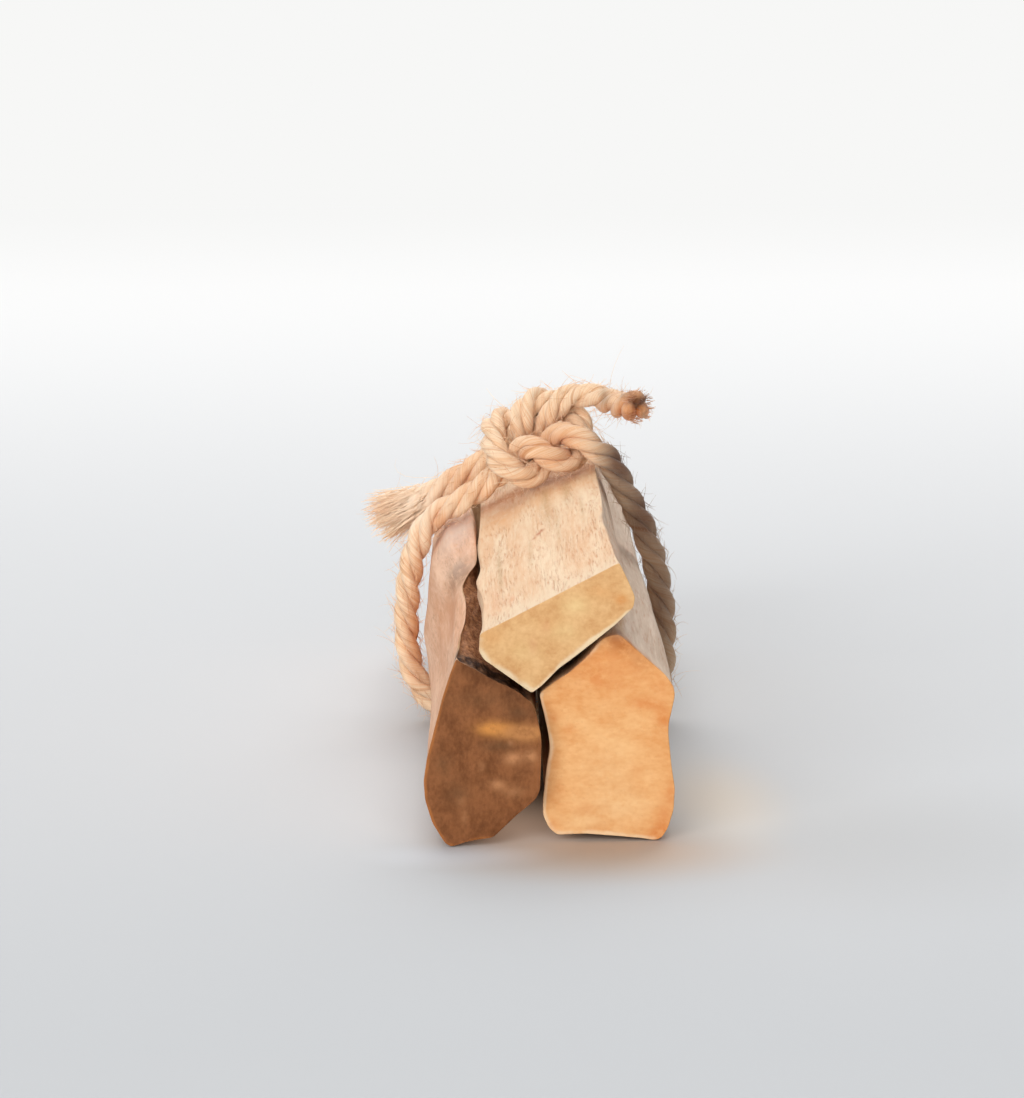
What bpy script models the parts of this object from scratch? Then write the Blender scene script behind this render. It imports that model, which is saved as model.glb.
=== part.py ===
"""A bundle of three palo santo sticks, tied with jute twine and lying on a table.

Each stick is split by hand from a log and sawn off square, so its section is an uneven
polygon that changes slowly along the grain. Two sticks lie side by side and the third lies
in the groove between them. One turn of twine holds them, knotted on the upper stick.

Lengths are in millimetres in the bundle's own frame until the meshes are made: x to the
right, y along the sticks from the near ends, z up, and the zero where the three sticks meet
at the near end. The twine under the bundle lifts its far end, so the bundle leans a little
forward on the near corners of the two lower sticks.
"""

from dataclasses import dataclass, field
from math import cos, pi, radians, sin

import bpy
import numpy as np

MM = 0.001

# Sizes of the sticks: a bevel at each sawn end, and how close the sections and corners lie
BEVEL_LENGTH = 0.5
STATION_STEP = 4.4
OUTLINE_STEP = 1.9

# The split surface: (waves round the stick, length of a wave along it), fading out at the ends
RELIEF_WAVES = ((3, 70.0), (5, 46.0), (8, 31.0), (13, 24.0))
RELIEF_FADE = 6.0

# Sizes of the twine
TWINE_RADIUS = 1.35
TWINE_GAP = 0.3
TWINE_LAY = 9.0
TWINE_STEP = 1.25
TWINE_SIDES = 12
PLY_COUNT = 3
PLY_RELIEF = 0.13
JUTE_COLOUR = "#c9a27c"
JUTE_ROUGHNESS = 0.9
UNDERSIDE_SQUASH = 0.82
UNDERSIDE_FROM = -13.6
UNDERSIDE_FULL = -14.8

# Sizes of the knot, which is built on the sloping upper face of the top stick. An axis is
# (back, height), a span is where along the slope its turns start and end, and a bend, where a
# strand passes from the lower turns to the upper ones, is (along, back, height).
KNOT_CENTRE = (0.8, 52.6, 9.8)
KNOT_SLOPE = radians(24.5)
TURN_RADIUS = 1.4
LOWER_AXIS = (-0.2, 3.05)
UPPER_AXIS = (2.6, 5.8)
LOWER_SPAN = (-2.4, 6.4)
UPPER_SPAN = (1.0, 7.0)
RIGHT_BEND = (7.6, 1.2, 5.2)
LEFT_BEND = (-1.4, 1.4, 5.6)
HALF_TURNS = 3
TURN_POINTS = 13


@dataclass(frozen=True)
class Stick:
    """One split stick: its near outline, clockwise as seen from the near end, and its drift.

    The drift says how far a numbered corner has moved at a distance along the stick, as
    (distance, right, up). A corner that isn't named moves as the named ones on either side.
    """

    name: str
    near_end: float
    far_end: float
    outline: tuple
    drift: dict = field(default_factory=dict)
    relief: float = 0.3
    seed: int = 1
    bevel: float = 0.35
    colour: str = "#c9a070"
    roughness: float = 0.7


STILL = ((0, 0, 0), (97, 0, 0))

TOP = Stick(
    name="stick_top",
    near_end=1.0,
    far_end=96.0,
    outline=(
        (-5.6, 6.05), (0.8, 9.35), (7.05, 12.65), (7.85, 11.0), (8.5, 9.4), (8.35, 8.4), (6.7, 6.8),
        (3.8, 4.45), (1.5, 2.65), (0.1, 1.2), (-0.85, 0.45), (-2.85, 1.9), (-5.2, 3.6), (-5.7, 4.4),
    ),
    drift={
        0: ((0, 0, 0), (17, 0, 0.05), (22, -0.45, 0.1), (27, 0, 0.1), (42, -0.2, 0.3), (57, 0.15, 0.5),
            (75, 0.1, 0.2), (96, 0.5, -0.4)),
        1: ((0, 0, 0), (30, 0, 0.15), (57, 0, 0.4), (96, 0, -0.5)),
        2: ((0, 0, 0), (11, -0.35, -0.1), (22, -0.75, -0.15), (35, -0.4, -0.35), (45, -0.4, -0.6),
            (56, -0.4, -0.8), (75, -0.9, -1.0), (96, -1.3, -1.7)),
        4: ((0, 0, 0), (54, -0.8, -0.3), (96, -1.0, -0.8)),
        6: STILL,
        10: STILL,
        12: ((0, 0, 0), (57, 0.25, 0.35), (96, 0.5, 0.2)),
    },
    relief=0.28,
    seed=3,
    bevel=0.55,
    colour="#efd0a2",
    roughness=0.72,
)

LEFT = Stick(
    name="stick_left",
    near_end=0.0,
    far_end=97.0,
    outline=(
        (-7.75, 4.05), (-5.25, 2.6), (-3.9, 1.8), (-2.6, 1.25), (-1.35, 0.4), (-0.7, -0.45), (-0.25, -1.8),
        (0.05, -3.6), (0.05, -5.65), (-0.1, -8.4), (-0.5, -9.25), (-2.1, -10.6), (-4.35, -12.8),
        (-6.6, -13.15), (-8.2, -13.7), (-8.8, -13.35), (-9.95, -11.4), (-10.6, -9.2), (-10.72, -7.4),
        (-10.4, -5.2), (-9.65, -2.2), (-8.95, 0.55), (-8.3, 2.6),
    ),
    drift={
        0: ((0, 0, 0), (8, 0.15, 0), (17, 0.8, 0), (26, 0.75, 0.1), (31, 0.5, 0.1), (35, 0.95, 0.3),
            (40, 1.75, 0.35), (48, 1.4, 1.7), (57, 1.2, 2.2), (70, 0.9, 1.1), (97, 0.8, -1.2)),
        1: ((0, 0, 0), (40, 0, 0.1), (57, -0.1, 0.1), (97, 0.2, -0.3)),
        4: STILL,
        9: STILL,
        12: ((0, 0, 0), (57, 0, 0.1), (97, 0.2, 0.9)),
        14: ((0, 0, 0), (57, 0, 0.05), (97, 0.5, 0.6)),
        17: ((0, 0, 0), (38, 0, 0), (48, -0.35, -0.1), (62, -0.35, -0.1), (97, 0.5, 0)),
        19: ((0, 0, 0), (38, -0.1, 0), (48, -0.8, 0.3), (62, -0.85, 0.3), (97, 0.3, 0)),
        21: ((0, 0, 0), (38, -0.1, 0.1), (48, -1.5, 1.4), (60, -1.6, 1.5), (75, -1.0, 0.9), (97, 0.1, 0)),
        22: ((0, 0, 0), (31, 0.2, 0.1), (38, 0.3, 0.4), (48, -0.5, 2.2), (60, -0.6, 2.4), (75, -0.3, 1.3),
             (97, 0.4, -0.2)),
    },
    relief=0.4,
    seed=11,
    bevel=0.3,
    colour="#7b5236",
    roughness=0.8,
)

RIGHT = Stick(
    name="stick_right",
    near_end=2.2,
    far_end=97.5,
    outline=(
        (-0.25, 0.2), (1.1, 1.25), (2.6, 2.2), (4.1, 3.6), (5.3, 5.1), (6.0, 5.55), (7.1, 5.75), (8.6, 4.4),
        (9.8, 3.3), (11.35, 1.9), (12.1, 0.85), (12.25, -0.1), (11.68, -2.6), (11.62, -3.55), (11.95, -6.65),
        (12.3, -8.8), (12.2, -10.9), (11.75, -12.5), (11.15, -13.5), (10.55, -13.8), (9.3, -13.55),
        (7.2, -13.35), (4.2, -13.1), (1.45, -13.25), (0.65, -12.5), (0.15, -11.3), (0.15, -9.75),
        (0.5, -6.6), (0.8, -5.05), (0.66, -3.8), (0.35, -2.25), (-0.1, -0.4),
    ),
    drift={
        3: STILL,
        6: ((0, 0, 0), (56, 0, -0.1), (97, 0.2, -0.4)),
        9: ((0, 0, 0), (25, 0.1, 0.2), (54, -0.3, 0.1), (97, -0.7, -0.6)),
        11: ((0, 0, 0), (25, 0.0, 0), (54, -0.75, -0.1), (97, -0.8, -0.2)),
        13: ((0, 0, 0), (20, 0.2, 0), (54, 0.2, 0), (97, 0.1, 0)),
        15: ((0, 0, 0), (54, 0.0, 0), (97, -0.4, 0.2)),
        19: ((0, 0, 0), (56, 0.05, 0), (97, -0.6, 0.7)),
        22: ((0, 0, 0), (56, 0, 0), (97, 0, 0.9)),
        24: ((0, 0, 0), (97, 0.2, 0.6)),
        27: STILL,
        31: STILL,
    },
    relief=0.3,
    seed=7,
    bevel=0.35,
    colour="#dfa468",
    roughness=0.72,
)

STICKS = (TOP, LEFT, RIGHT)

# The ring of twine from the left of the knot, round under the bundle, to the right of the knot
RING = (
    (-7.3, 53.9, 7.8), (-9.2, 54.2, 6.9), (-10.7, 54.5, 5.3), (-11.85, 54.8, 3.0), (-12.65, 55.1, 0.0),
    (-13.0, 55.3, -3.5), (-13.05, 55.5, -7.0), (-12.55, 55.6, -10.2), (-11.45, 55.6, -12.7),
    (-9.9, 55.6, -14.5), (-7.8, 55.5, -15.15), (-4.0, 55.4, -15.15), (0.0, 55.3, -15.15),
    (4.0, 55.2, -15.15), (8.0, 55.1, -15.2), (10.8, 55.0, -15.15), (12.6, 54.8, -14.1), (13.4, 54.6, -12.3),
    (13.8, 54.3, -10.2), (13.9, 54.0, -7.5), (13.8, 53.7, -4.7), (13.45, 53.5, -1.8), (12.85, 53.3, 0.9),
    (11.95, 53.1, 4.0), (11.0, 52.9, 6.8), (9.75, 52.7, 9.6), (8.4, 52.4, 12.1), (7.2, 52.2, 13.5),
)

# The cut ends of the twine, from the knot outwards
LEFT_TAIL = ((-6.2, 56.0, 10.7), (-8.2, 56.8, 9.0), (-10.4, 57.5, 7.7), (-12.6, 58.1, 6.5), (-14.8, 58.6, 5.3))
RIGHT_TAIL = ((8.0, 51.2, 18.0), (9.0, 49.2, 18.5), (9.9, 47.0, 18.9), (10.7, 44.8, 19.3))
LEFT_FLARE = 1.6
RIGHT_FLARE = 1.25
FLARE_LENGTH = 6.0

# How the twine is pressed: in each round its strands are pushed apart and off the wood, and then
# evened. Stretches closer along the twine than NEAR_STRETCH don't push each other, the last
# rounds don't even the line, and the strands move freely only above LOOSE_FULL.
PRESS_ROUNDS = 240
LAST_ROUNDS = 30
PRESS_SHARE = 0.35
PRESS_MARGIN = 0.08
SMOOTH_SHARE = 0.12
NEAR_STRETCH = 4.2
LOOSE_FROM = 6.0
LOOSE_FULL = 9.0
END_POINTS = 4

# Points of the fine curve to each given point, before the curve is read at even steps
FINE_POINTS = 12

# How the bundle rests: the search for its lean, and how deep its weight presses the twine flat
STEEPEST_LEAN = radians(6)
HALVINGS = 40
PRESSED_FLAT = 0.2

# Faces that meet at a larger angle than this are shaded as a hard edge
EDGE_ANGLE = radians(30)


def curve_through(places, values, at):
    """The smooth curve that passes through values at places, read at each of at.

    It is a cubic between each two places, and its slope at a place is the slope between the
    places on either side.
    """
    places = np.asarray(places, float)
    values = np.asarray(values, float)
    slopes = np.gradient(values, places, axis=0)
    index = np.clip(np.searchsorted(places, at, side="right") - 1, 0, len(places) - 2)
    gap = places[index + 1] - places[index]
    t = np.clip((at - places[index]) / gap, 0.0, 1.0)[:, None]
    gap = gap[:, None]
    start, end = values[index], values[index + 1]
    leave, arrive = slopes[index] * gap, slopes[index + 1] * gap
    return (
        start * (1 + 2 * t) * (1 - t) ** 2
        + leave * t * (1 - t) ** 2
        + end * t**2 * (3 - 2 * t)
        - arrive * t**2 * (1 - t)
    )


def corner_places(stick):
    """Places round the outline as corner numbers with fractions, close enough for the relief."""
    corners = np.array(stick.outline)
    edges = np.linalg.norm(np.roll(corners, -1, axis=0) - corners, axis=1)
    parts = np.maximum(1, np.round(edges / OUTLINE_STEP)).astype(int)
    return np.concatenate([i + np.arange(n) / n for i, n in enumerate(parts)])


def drift_at(stick, distance):
    """How far every corner has moved at this distance, as one (right, up) row a corner."""
    named = sorted(stick.drift)
    moves = []
    for corner in named:
        track = np.array(stick.drift[corner], float)
        moves.append(curve_through(track[:, 0], track[:, 1:], np.array([distance]))[0])
    moves = np.array(moves)
    count = len(stick.outline)
    numbers = np.arange(count)
    return np.stack([np.interp(numbers, named, moves[:, k], period=count) for k in (0, 1)], axis=1)


def inward(points):
    """Unit normals of a clockwise outline, pointing into it."""
    along = np.roll(points, -1, axis=0) - np.roll(points, 1, axis=0)
    normals = np.stack([along[:, 1], -along[:, 0]], axis=1)
    return normals / np.linalg.norm(normals, axis=1, keepdims=True)


def relief_depth(stick, places, distance):
    """How deep the split surface lies under the outline: long shallow waves along the grain."""
    random = np.random.default_rng(stick.seed)
    around = 2 * pi * places / len(stick.outline)
    depth = np.zeros(len(places))
    for waves, length in RELIEF_WAVES:
        phase = random.uniform(0, 2 * pi)
        depth += (1 + np.sin(waves * around + phase + 2 * pi * distance / length)) / 2
    ends = min(1.0, (distance - stick.near_end) / RELIEF_FADE, (stick.far_end - distance) / RELIEF_FADE)
    return stick.relief * depth / len(RELIEF_WAVES) * max(0.0, ends)


def section(stick, places, distance, inset=0.0):
    """The stick's section at this distance: (right, up) at each place round it."""
    corners = np.array(stick.outline) + drift_at(stick, distance)
    numbers = np.arange(len(corners))
    points = np.stack([np.interp(places, numbers, corners[:, k], period=len(corners)) for k in (0, 1)], axis=1)
    depth = relief_depth(stick, places, distance) + inset
    return points + inward(points) * depth[:, None]


def stations(stick):
    """(distance, inset) of each section, with a bevel at both sawn ends."""
    inner = np.linspace(
        stick.near_end + BEVEL_LENGTH,
        stick.far_end - BEVEL_LENGTH,
        round((stick.far_end - stick.near_end) / STATION_STEP) + 1,
    )
    rows = [(stick.near_end, stick.bevel)]
    rows += [(distance, 0.0) for distance in inner]
    rows.append((stick.far_end, stick.bevel))
    return rows


def stick_mesh(stick):
    """The vertices and faces of one stick, closed by its two flat sawn ends."""
    places = corner_places(stick)
    count = len(places)
    rows = []
    for distance, inset in stations(stick):
        points = section(stick, places, distance, inset)[::-1]
        rows.append(np.stack([points[:, 0], np.full(count, distance), points[:, 1]], axis=1))
    return np.concatenate(rows), tube_faces(len(rows), count)


def tube_faces(rows, count):
    """Quads between rows of count points each, and one face at each end."""
    faces = []
    for row in range(rows - 1):
        for i in range(count):
            j = (i + 1) % count
            here, there = row * count, (row + 1) * count
            faces.append((here + i, there + i, there + j, here + j))
    faces.append(tuple(range(count)))
    faces.append(tuple((rows - 1) * count + i for i in reversed(range(count))))
    return faces


def on_knot(along, back, height):
    """A point of the knot: along the slope of the top face, back along the stick, off the face."""
    x, y, z = KNOT_CENTRE
    return (
        x + along * cos(KNOT_SLOPE) - height * sin(KNOT_SLOPE),
        y + back,
        z + along * sin(KNOT_SLOPE) + height * cos(KNOT_SLOPE),
    )


def turned_pair(span, axis, hand):
    """Two strands wound round each other along the slope, three half turns, as in a half knot.

    The first starts low at the left and ends high at the right, and the second is opposite it.
    """
    share = np.linspace(0, 1, TURN_POINTS)
    angle = -pi / 2 + hand * HALF_TURNS * pi * share
    along = span[0] + (span[1] - span[0]) * share
    first, second = [], []
    for a, t in zip(angle, along):
        back, up = TURN_RADIUS * cos(a), TURN_RADIUS * sin(a)
        first.append(on_knot(t, axis[0] + back, axis[1] + up))
        second.append(on_knot(t, axis[0] - back, axis[1] - up))
    return first, second


def twine_route():
    """The hand-set line of the whole twine, from the left cut end to the right one."""
    lower_left, lower_right = turned_pair(LOWER_SPAN, LOWER_AXIS, 1)
    upper_right, upper_left = turned_pair(UPPER_SPAN, UPPER_AXIS, -1)
    route = list(reversed(LEFT_TAIL))
    route += upper_right
    route.append(on_knot(*RIGHT_BEND))
    route += list(reversed(lower_left))
    route += list(RING)
    route += list(reversed(lower_right))
    route.append(on_knot(*LEFT_BEND))
    route += upper_left
    route += list(RIGHT_TAIL)
    return np.array(route)


def evenly(points, step):
    """Points a step apart on the smooth curve through the given ones."""
    gaps = np.linalg.norm(np.diff(points, axis=0), axis=1)
    places = np.concatenate([[0], np.cumsum(gaps)])
    fine = curve_through(places, points, np.linspace(0, places[-1], FINE_POINTS * len(points)))
    lengths = np.concatenate([[0], np.cumsum(np.linalg.norm(np.diff(fine, axis=0), axis=1))])
    wanted = np.linspace(0, lengths[-1], round(lengths[-1] / step) + 1)
    return np.stack([np.interp(wanted, lengths, fine[:, k]) for k in range(3)], axis=1)


def flattening(points):
    """How far the twine keeps its height at each point: it is pressed flat under the bundle."""
    under = np.clip((UNDERSIDE_FROM - points[:, 2]) / (UNDERSIDE_FROM - UNDERSIDE_FULL), 0, 1)
    return 1 - (1 - UNDERSIDE_SQUASH) * under


def off_wood(points, outlines):
    """How far each point has to move, as (right, up), for the twine to clear one stick.

    Outlines holds the stick's section at each point. The nearest place on its sides is found,
    and a point closer than the twine's own reach and the gap is moved straight away from it.
    """
    start = outlines
    side = np.roll(outlines, -1, axis=1) - start
    here = points[:, None, [0, 2]] - start
    share = np.clip((here * side).sum(axis=2) / (side**2).sum(axis=2), 0, 1)
    away = here - share[:, :, None] * side
    distance = np.linalg.norm(away, axis=2)
    row = np.arange(len(points))
    nearest = distance.argmin(axis=1)
    distance = distance[row, nearest][:, None]
    away = away[row, nearest] / distance
    flat = 1 - (1 - flattening(points)[:, None]) * np.abs(away[:, 1:])
    return away * np.clip(TWINE_RADIUS * flat + TWINE_GAP - distance, 0, None)


def pressed(points, step):
    """The twine drawn snug: its strands a diameter apart, and all of it clear of the wood."""
    count = len(points)
    apart = np.abs(np.subtract.outer(np.arange(count), np.arange(count))) * step
    loose = np.clip((points[:, 2] - LOOSE_FROM) / (LOOSE_FULL - LOOSE_FROM), 0, 1)[:, None]
    loose[:END_POINTS] = 0
    loose[-END_POINTS:] = 0
    outlines = [
        np.array([section(stick, corner_places(stick), distance) for distance in points[:, 1]])
        for stick in STICKS
    ]
    for number in range(PRESS_ROUNDS):
        offset = points[:, None] - points[None]
        distance = np.linalg.norm(offset, axis=2) + 1e-9
        short = np.clip(2 * TWINE_RADIUS + PRESS_MARGIN - distance, 0, None)
        short[apart < NEAR_STRETCH] = 0
        push = (offset / distance[:, :, None] * short[:, :, None]).sum(axis=1)
        points = points + PRESS_SHARE * loose * push
        if number < PRESS_ROUNDS - LAST_ROUNDS:
            middle = (np.roll(points, 1, axis=0) + np.roll(points, -1, axis=0)) / 2
            points = points + SMOOTH_SHARE * loose * (middle - points)
        for sides in outlines:
            points[:, [0, 2]] += off_wood(points, sides)
    return points


def twine_frames(points):
    """A sideways and an upward direction at each point, carried along without twisting."""
    along = np.gradient(points, axis=0)
    along /= np.linalg.norm(along, axis=1, keepdims=True)
    side = np.cross(along[0], (0.0, 0.0, 1.0))
    sides = []
    for direction in along:
        side = side - direction * (side @ direction)
        side = side / np.linalg.norm(side)
        sides.append(side)
    sides = np.array(sides)
    return sides, np.cross(sides, along)


def twine_mesh():
    """The twine as one closed body: three plies laid round each other along the route."""
    step = TWINE_STEP
    points = evenly(pressed(evenly(twine_route(), step), step), step)
    sides, ups = twine_frames(points)
    walked = step * np.arange(len(points))
    left_end = np.clip(1 - walked / FLARE_LENGTH, 0, 1) * (LEFT_FLARE - 1)
    right_end = np.clip(1 - walked[::-1] / FLARE_LENGTH, 0, 1) * (RIGHT_FLARE - 1)
    angle = 2 * pi * np.arange(TWINE_SIDES) / TWINE_SIDES
    turn = 2 * pi * walked[:, None] / TWINE_LAY
    ply = np.abs(np.cos(PLY_COUNT * (angle[None] - turn) / 2))
    radius = TWINE_RADIUS * (1 - PLY_RELIEF + PLY_RELIEF * ply) * (1 + left_end + right_end)[:, None]
    offset = radius[:, :, None] * (
        np.cos(angle)[None, :, None] * sides[:, None] + np.sin(angle)[None, :, None] * ups[:, None]
    )
    offset[:, :, 2] *= flattening(points)[:, None]
    vertices = (points[:, None] + offset).reshape(-1, 3)
    return vertices, tube_faces(len(points), TWINE_SIDES)


def leaning(vertices, angle):
    """The vertices turned about x, with the far end up."""
    y, z = vertices[:, 1], vertices[:, 2]
    return np.stack([vertices[:, 0], y * cos(angle) - z * sin(angle), y * sin(angle) + z * cos(angle)], axis=1)


def resting_level(sticks, angle):
    """The level of the higher of the lower sticks' lowest corners, in the leaning bundle."""
    return max(leaning(vertices, angle)[:, 2].min() for vertices in sticks)


def resting_angle(sticks, twine):
    """The lean at which the twine would reach below the near corners by what is pressed flat."""
    low, high = 0.0, STEEPEST_LEAN
    for _ in range(HALVINGS):
        middle = (low + high) / 2
        if resting_level(sticks, middle) - PRESSED_FLAT < leaning(twine, middle)[:, 2].min():
            high = middle
        else:
            low = middle
    return low


def settled(vertices, angle, level):
    """The vertices with whatever would reach under the floor moved straight up to it."""
    under = np.clip(level - leaning(vertices, angle)[:, 2], 0, None)
    return vertices + under[:, None] * np.array([0, sin(angle), cos(angle)])


def linear(colour):
    """A colour written as hex, as the linear values that a material takes."""
    values = np.array([int(colour[i : i + 2], 16) for i in (1, 3, 5)]) / 255
    values = np.where(values <= 0.04045, values / 12.92, ((values + 0.055) / 1.055) ** 2.4)
    return (*values, 1.0)


def material(name, colour, roughness):
    made = bpy.data.materials.new(name)
    made.use_nodes = True
    shader = made.node_tree.nodes["Principled BSDF"]
    shader.inputs["Base Color"].default_value = linear(colour)
    shader.inputs["Roughness"].default_value = roughness
    shader.inputs["Metallic"].default_value = 0.0
    return made


def add_object(name, vertices, faces, finish, parent):
    """One named solid from millimetre vertices, under the bundle's empty."""
    mesh = bpy.data.meshes.new(name)
    mesh.from_pydata((vertices * MM).tolist(), [], faces)
    mesh.shade_smooth()
    mesh.set_sharp_from_angle(angle=EDGE_ANGLE)
    mesh.materials.append(finish)
    made = bpy.data.objects.new(name, mesh)
    made.parent = parent
    bpy.context.scene.collection.objects.link(made)
    return made


def clear_scene():
    for old in list(bpy.data.objects):
        bpy.data.objects.remove(old, do_unlink=True)


def main():
    clear_scene()
    shapes = {stick.name: stick_mesh(stick) for stick in STICKS}
    shapes["jute_twine"] = twine_mesh()
    lower = [shapes[stick.name][0] for stick in (LEFT, RIGHT)]
    lean = resting_angle(lower, shapes["jute_twine"][0])
    level = resting_level(lower, lean)
    shapes = {name: (settled(vertices, lean, level), faces) for name, (vertices, faces) in shapes.items()}
    placed = np.concatenate([leaning(vertices, lean) for vertices, _ in shapes.values()])
    low, high = placed.min(axis=0), placed.max(axis=0)
    shift = (-(low[0] + high[0]) / 2, -(low[1] + high[1]) / 2, -low[2])

    bundle = bpy.data.objects.new("bundle", None)
    bpy.context.scene.collection.objects.link(bundle)
    bundle.location = [value * MM for value in shift]
    bundle.rotation_euler = (lean, 0, 0)
    for stick in STICKS:
        add_object(stick.name, *shapes[stick.name], material(stick.name, stick.colour, stick.roughness), bundle)
    add_object("jute_twine", *shapes["jute_twine"], material("jute_twine", JUTE_COLOUR, JUTE_ROUGHNESS), bundle)


main()
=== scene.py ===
"""Dresses a tied bundle of three palo santo sticks, lying on a plain pale floor.

The sticks are split by hand along the grain and sawn off square. One turn of three-ply jute
twine holds them and is knotted on the upper stick, where its cut ends stand out and fray.

Shapes are worked out in the bundle's own frame in millimetres: x to the right, y along the
sticks from the near ends, z up, and the zero where the three sticks meet at the near end.
A Placement then turns them into the row frame, in metres.
"""

import logging
from collections.abc import Sequence
from dataclasses import dataclass, field
from enum import Enum, IntEnum
from math import cos, pi, radians, sin

import bpy
import numpy as np
from mathutils import Matrix, Vector

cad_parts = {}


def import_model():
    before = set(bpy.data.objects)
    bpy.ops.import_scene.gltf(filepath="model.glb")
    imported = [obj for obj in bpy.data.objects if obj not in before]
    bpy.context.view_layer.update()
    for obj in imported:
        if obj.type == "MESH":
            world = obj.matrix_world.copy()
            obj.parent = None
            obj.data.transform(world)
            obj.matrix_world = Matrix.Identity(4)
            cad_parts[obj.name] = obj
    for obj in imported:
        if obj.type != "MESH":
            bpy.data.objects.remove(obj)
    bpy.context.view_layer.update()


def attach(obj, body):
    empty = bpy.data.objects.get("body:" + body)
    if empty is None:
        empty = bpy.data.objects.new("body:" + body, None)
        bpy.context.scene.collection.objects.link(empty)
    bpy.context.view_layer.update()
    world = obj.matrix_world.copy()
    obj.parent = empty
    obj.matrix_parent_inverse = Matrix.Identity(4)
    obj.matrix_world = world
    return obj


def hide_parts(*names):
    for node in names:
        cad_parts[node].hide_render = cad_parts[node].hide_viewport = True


log = logging.getLogger("bundle")

Array = np.ndarray
Pair = tuple[float, float]
Triple = tuple[float, float, float]
Track = tuple[Triple, ...]
Socket = bpy.types.NodeSocket
Input = float | str | Sequence[float] | Socket

MM = 0.001
SMOOTH = {"interpolation_type": "SMOOTHSTEP"}
BLACK = "#000000"


def curve_through(places: Array, values: Array, at: Array) -> Array:
    """Reads a smooth curve through given values.

    Between two places it is the cubic that starts and ends at their values, with the slope
    that joins the places on either side.

    Args:
        places: rising positions of the values.
        values: one row of numbers at each place.
        at: the positions to read.

    Returns:
        One row of numbers at each position.
    """
    slopes = np.gradient(values, places, axis=0)
    index = np.clip(np.searchsorted(places, at, side="right") - 1, 0, len(places) - 2)
    gap = places[index + 1] - places[index]
    t = np.clip((at - places[index]) / gap, 0.0, 1.0)[:, None]
    gap = gap[:, None]
    start, end = values[index], values[index + 1]
    leave, arrive = slopes[index] * gap, slopes[index + 1] * gap
    return (
        start * (1 + 2 * t) * (1 - t) ** 2
        + leave * t * (1 - t) ** 2
        + end * t**2 * (3 - 2 * t)
        - arrive * t**2 * (1 - t)
    )


def smooth_step(low: float, high: float, x: Array) -> Array:
    """Goes from 0 at low to 1 at high along the cubic 3t² - 2t³, whichever of them is larger."""
    t = np.clip((x - low) / (high - low), 0.0, 1.0)
    return t * t * (3 - 2 * t)


def walked_along(points: Array) -> Array:
    """Distance of each point from the first, along the straight lines between them."""
    return np.concatenate([[0], np.cumsum(np.linalg.norm(np.diff(points, axis=0), axis=1))])


def lattice_noise(round_share: Array, along: Array, cells: int, seed: int) -> Array:
    """Smooth random heights on a surface that closes on itself.

    Random numbers stand on a lattice of so many cells round the piece and rows one unit
    apart along it, and between them the height is their smooth-stepped mean.

    Args:
        round_share: how far round the piece each point lies, as a share of the way.
        along: how far along it lies, in rows of the lattice.
        cells: lattice cells round the piece.
        seed: which random numbers are drawn.

    Returns:
        Heights from 0 to 1, in the shape of the two inputs together.
    """
    low = int(np.floor(along.min()))
    rows = int(np.ceil(along.max())) - low + 2
    heights = np.random.default_rng(seed).random((rows, cells))
    x = np.mod(round_share, 1.0) * cells
    y = along - low
    column, row = np.floor(x).astype(int), np.floor(y).astype(int)
    fx, fy = smooth_step(0.0, 1.0, x - column), smooth_step(0.0, 1.0, y - row)
    column %= cells
    beside = (column + 1) % cells
    lower = heights[row, column] * (1 - fx) + heights[row, beside] * fx
    upper = heights[row + 1, column] * (1 - fx) + heights[row + 1, beside] * fx
    return lower * (1 - fy) + upper * fy


def unit(vectors: Array) -> Array:
    """The vectors at length one."""
    return vectors / (np.linalg.norm(vectors, axis=-1, keepdims=True) + 1e-12)


def linear(colour: str) -> tuple[float, float, float, float]:
    """Turns an sRGB colour into the linear values that a shader takes.

    Args:
        colour: the colour in hex, as #rrggbb.

    Returns:
        Red, green, blue and a full alpha.
    """
    values = np.array([int(colour[i : i + 2], 16) for i in (1, 3, 5)]) / 255
    values = np.where(values <= 0.04045, values / 12.92, ((values + 0.055) / 1.055) ** 2.4)
    return (*(float(v) for v in values), 1.0)


@dataclass(frozen=True)
class Placement:
    """How the bundle's own frame lies in the row frame: leaned about x, then moved."""

    lean: float = radians(2.6049)
    shift: Triple = (0.281, -48.904, 13.649)

    def turn(self) -> Matrix:
        """The lean as a rotation matrix."""
        return Matrix.Rotation(self.lean, 3, "X")

    def points(self, own: Array) -> Array:
        """Points of the own frame, in millimetres, as points of the row frame in metres."""
        return (own @ np.array(self.turn()).T + np.array(self.shift)) * MM

    def own_points(self, row: Array) -> Array:
        """Points of the row frame, in metres, as points of the own frame in millimetres."""
        return (row / MM - np.array(self.shift)) @ np.array(self.turn())


PLACEMENT = Placement()


@dataclass
class Surface:
    """A closed mesh in the own frame: corners, faces, and numbers for each corner by name."""

    points: Array
    quads: Array
    triangles: Array
    values: dict[str, Array]


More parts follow.
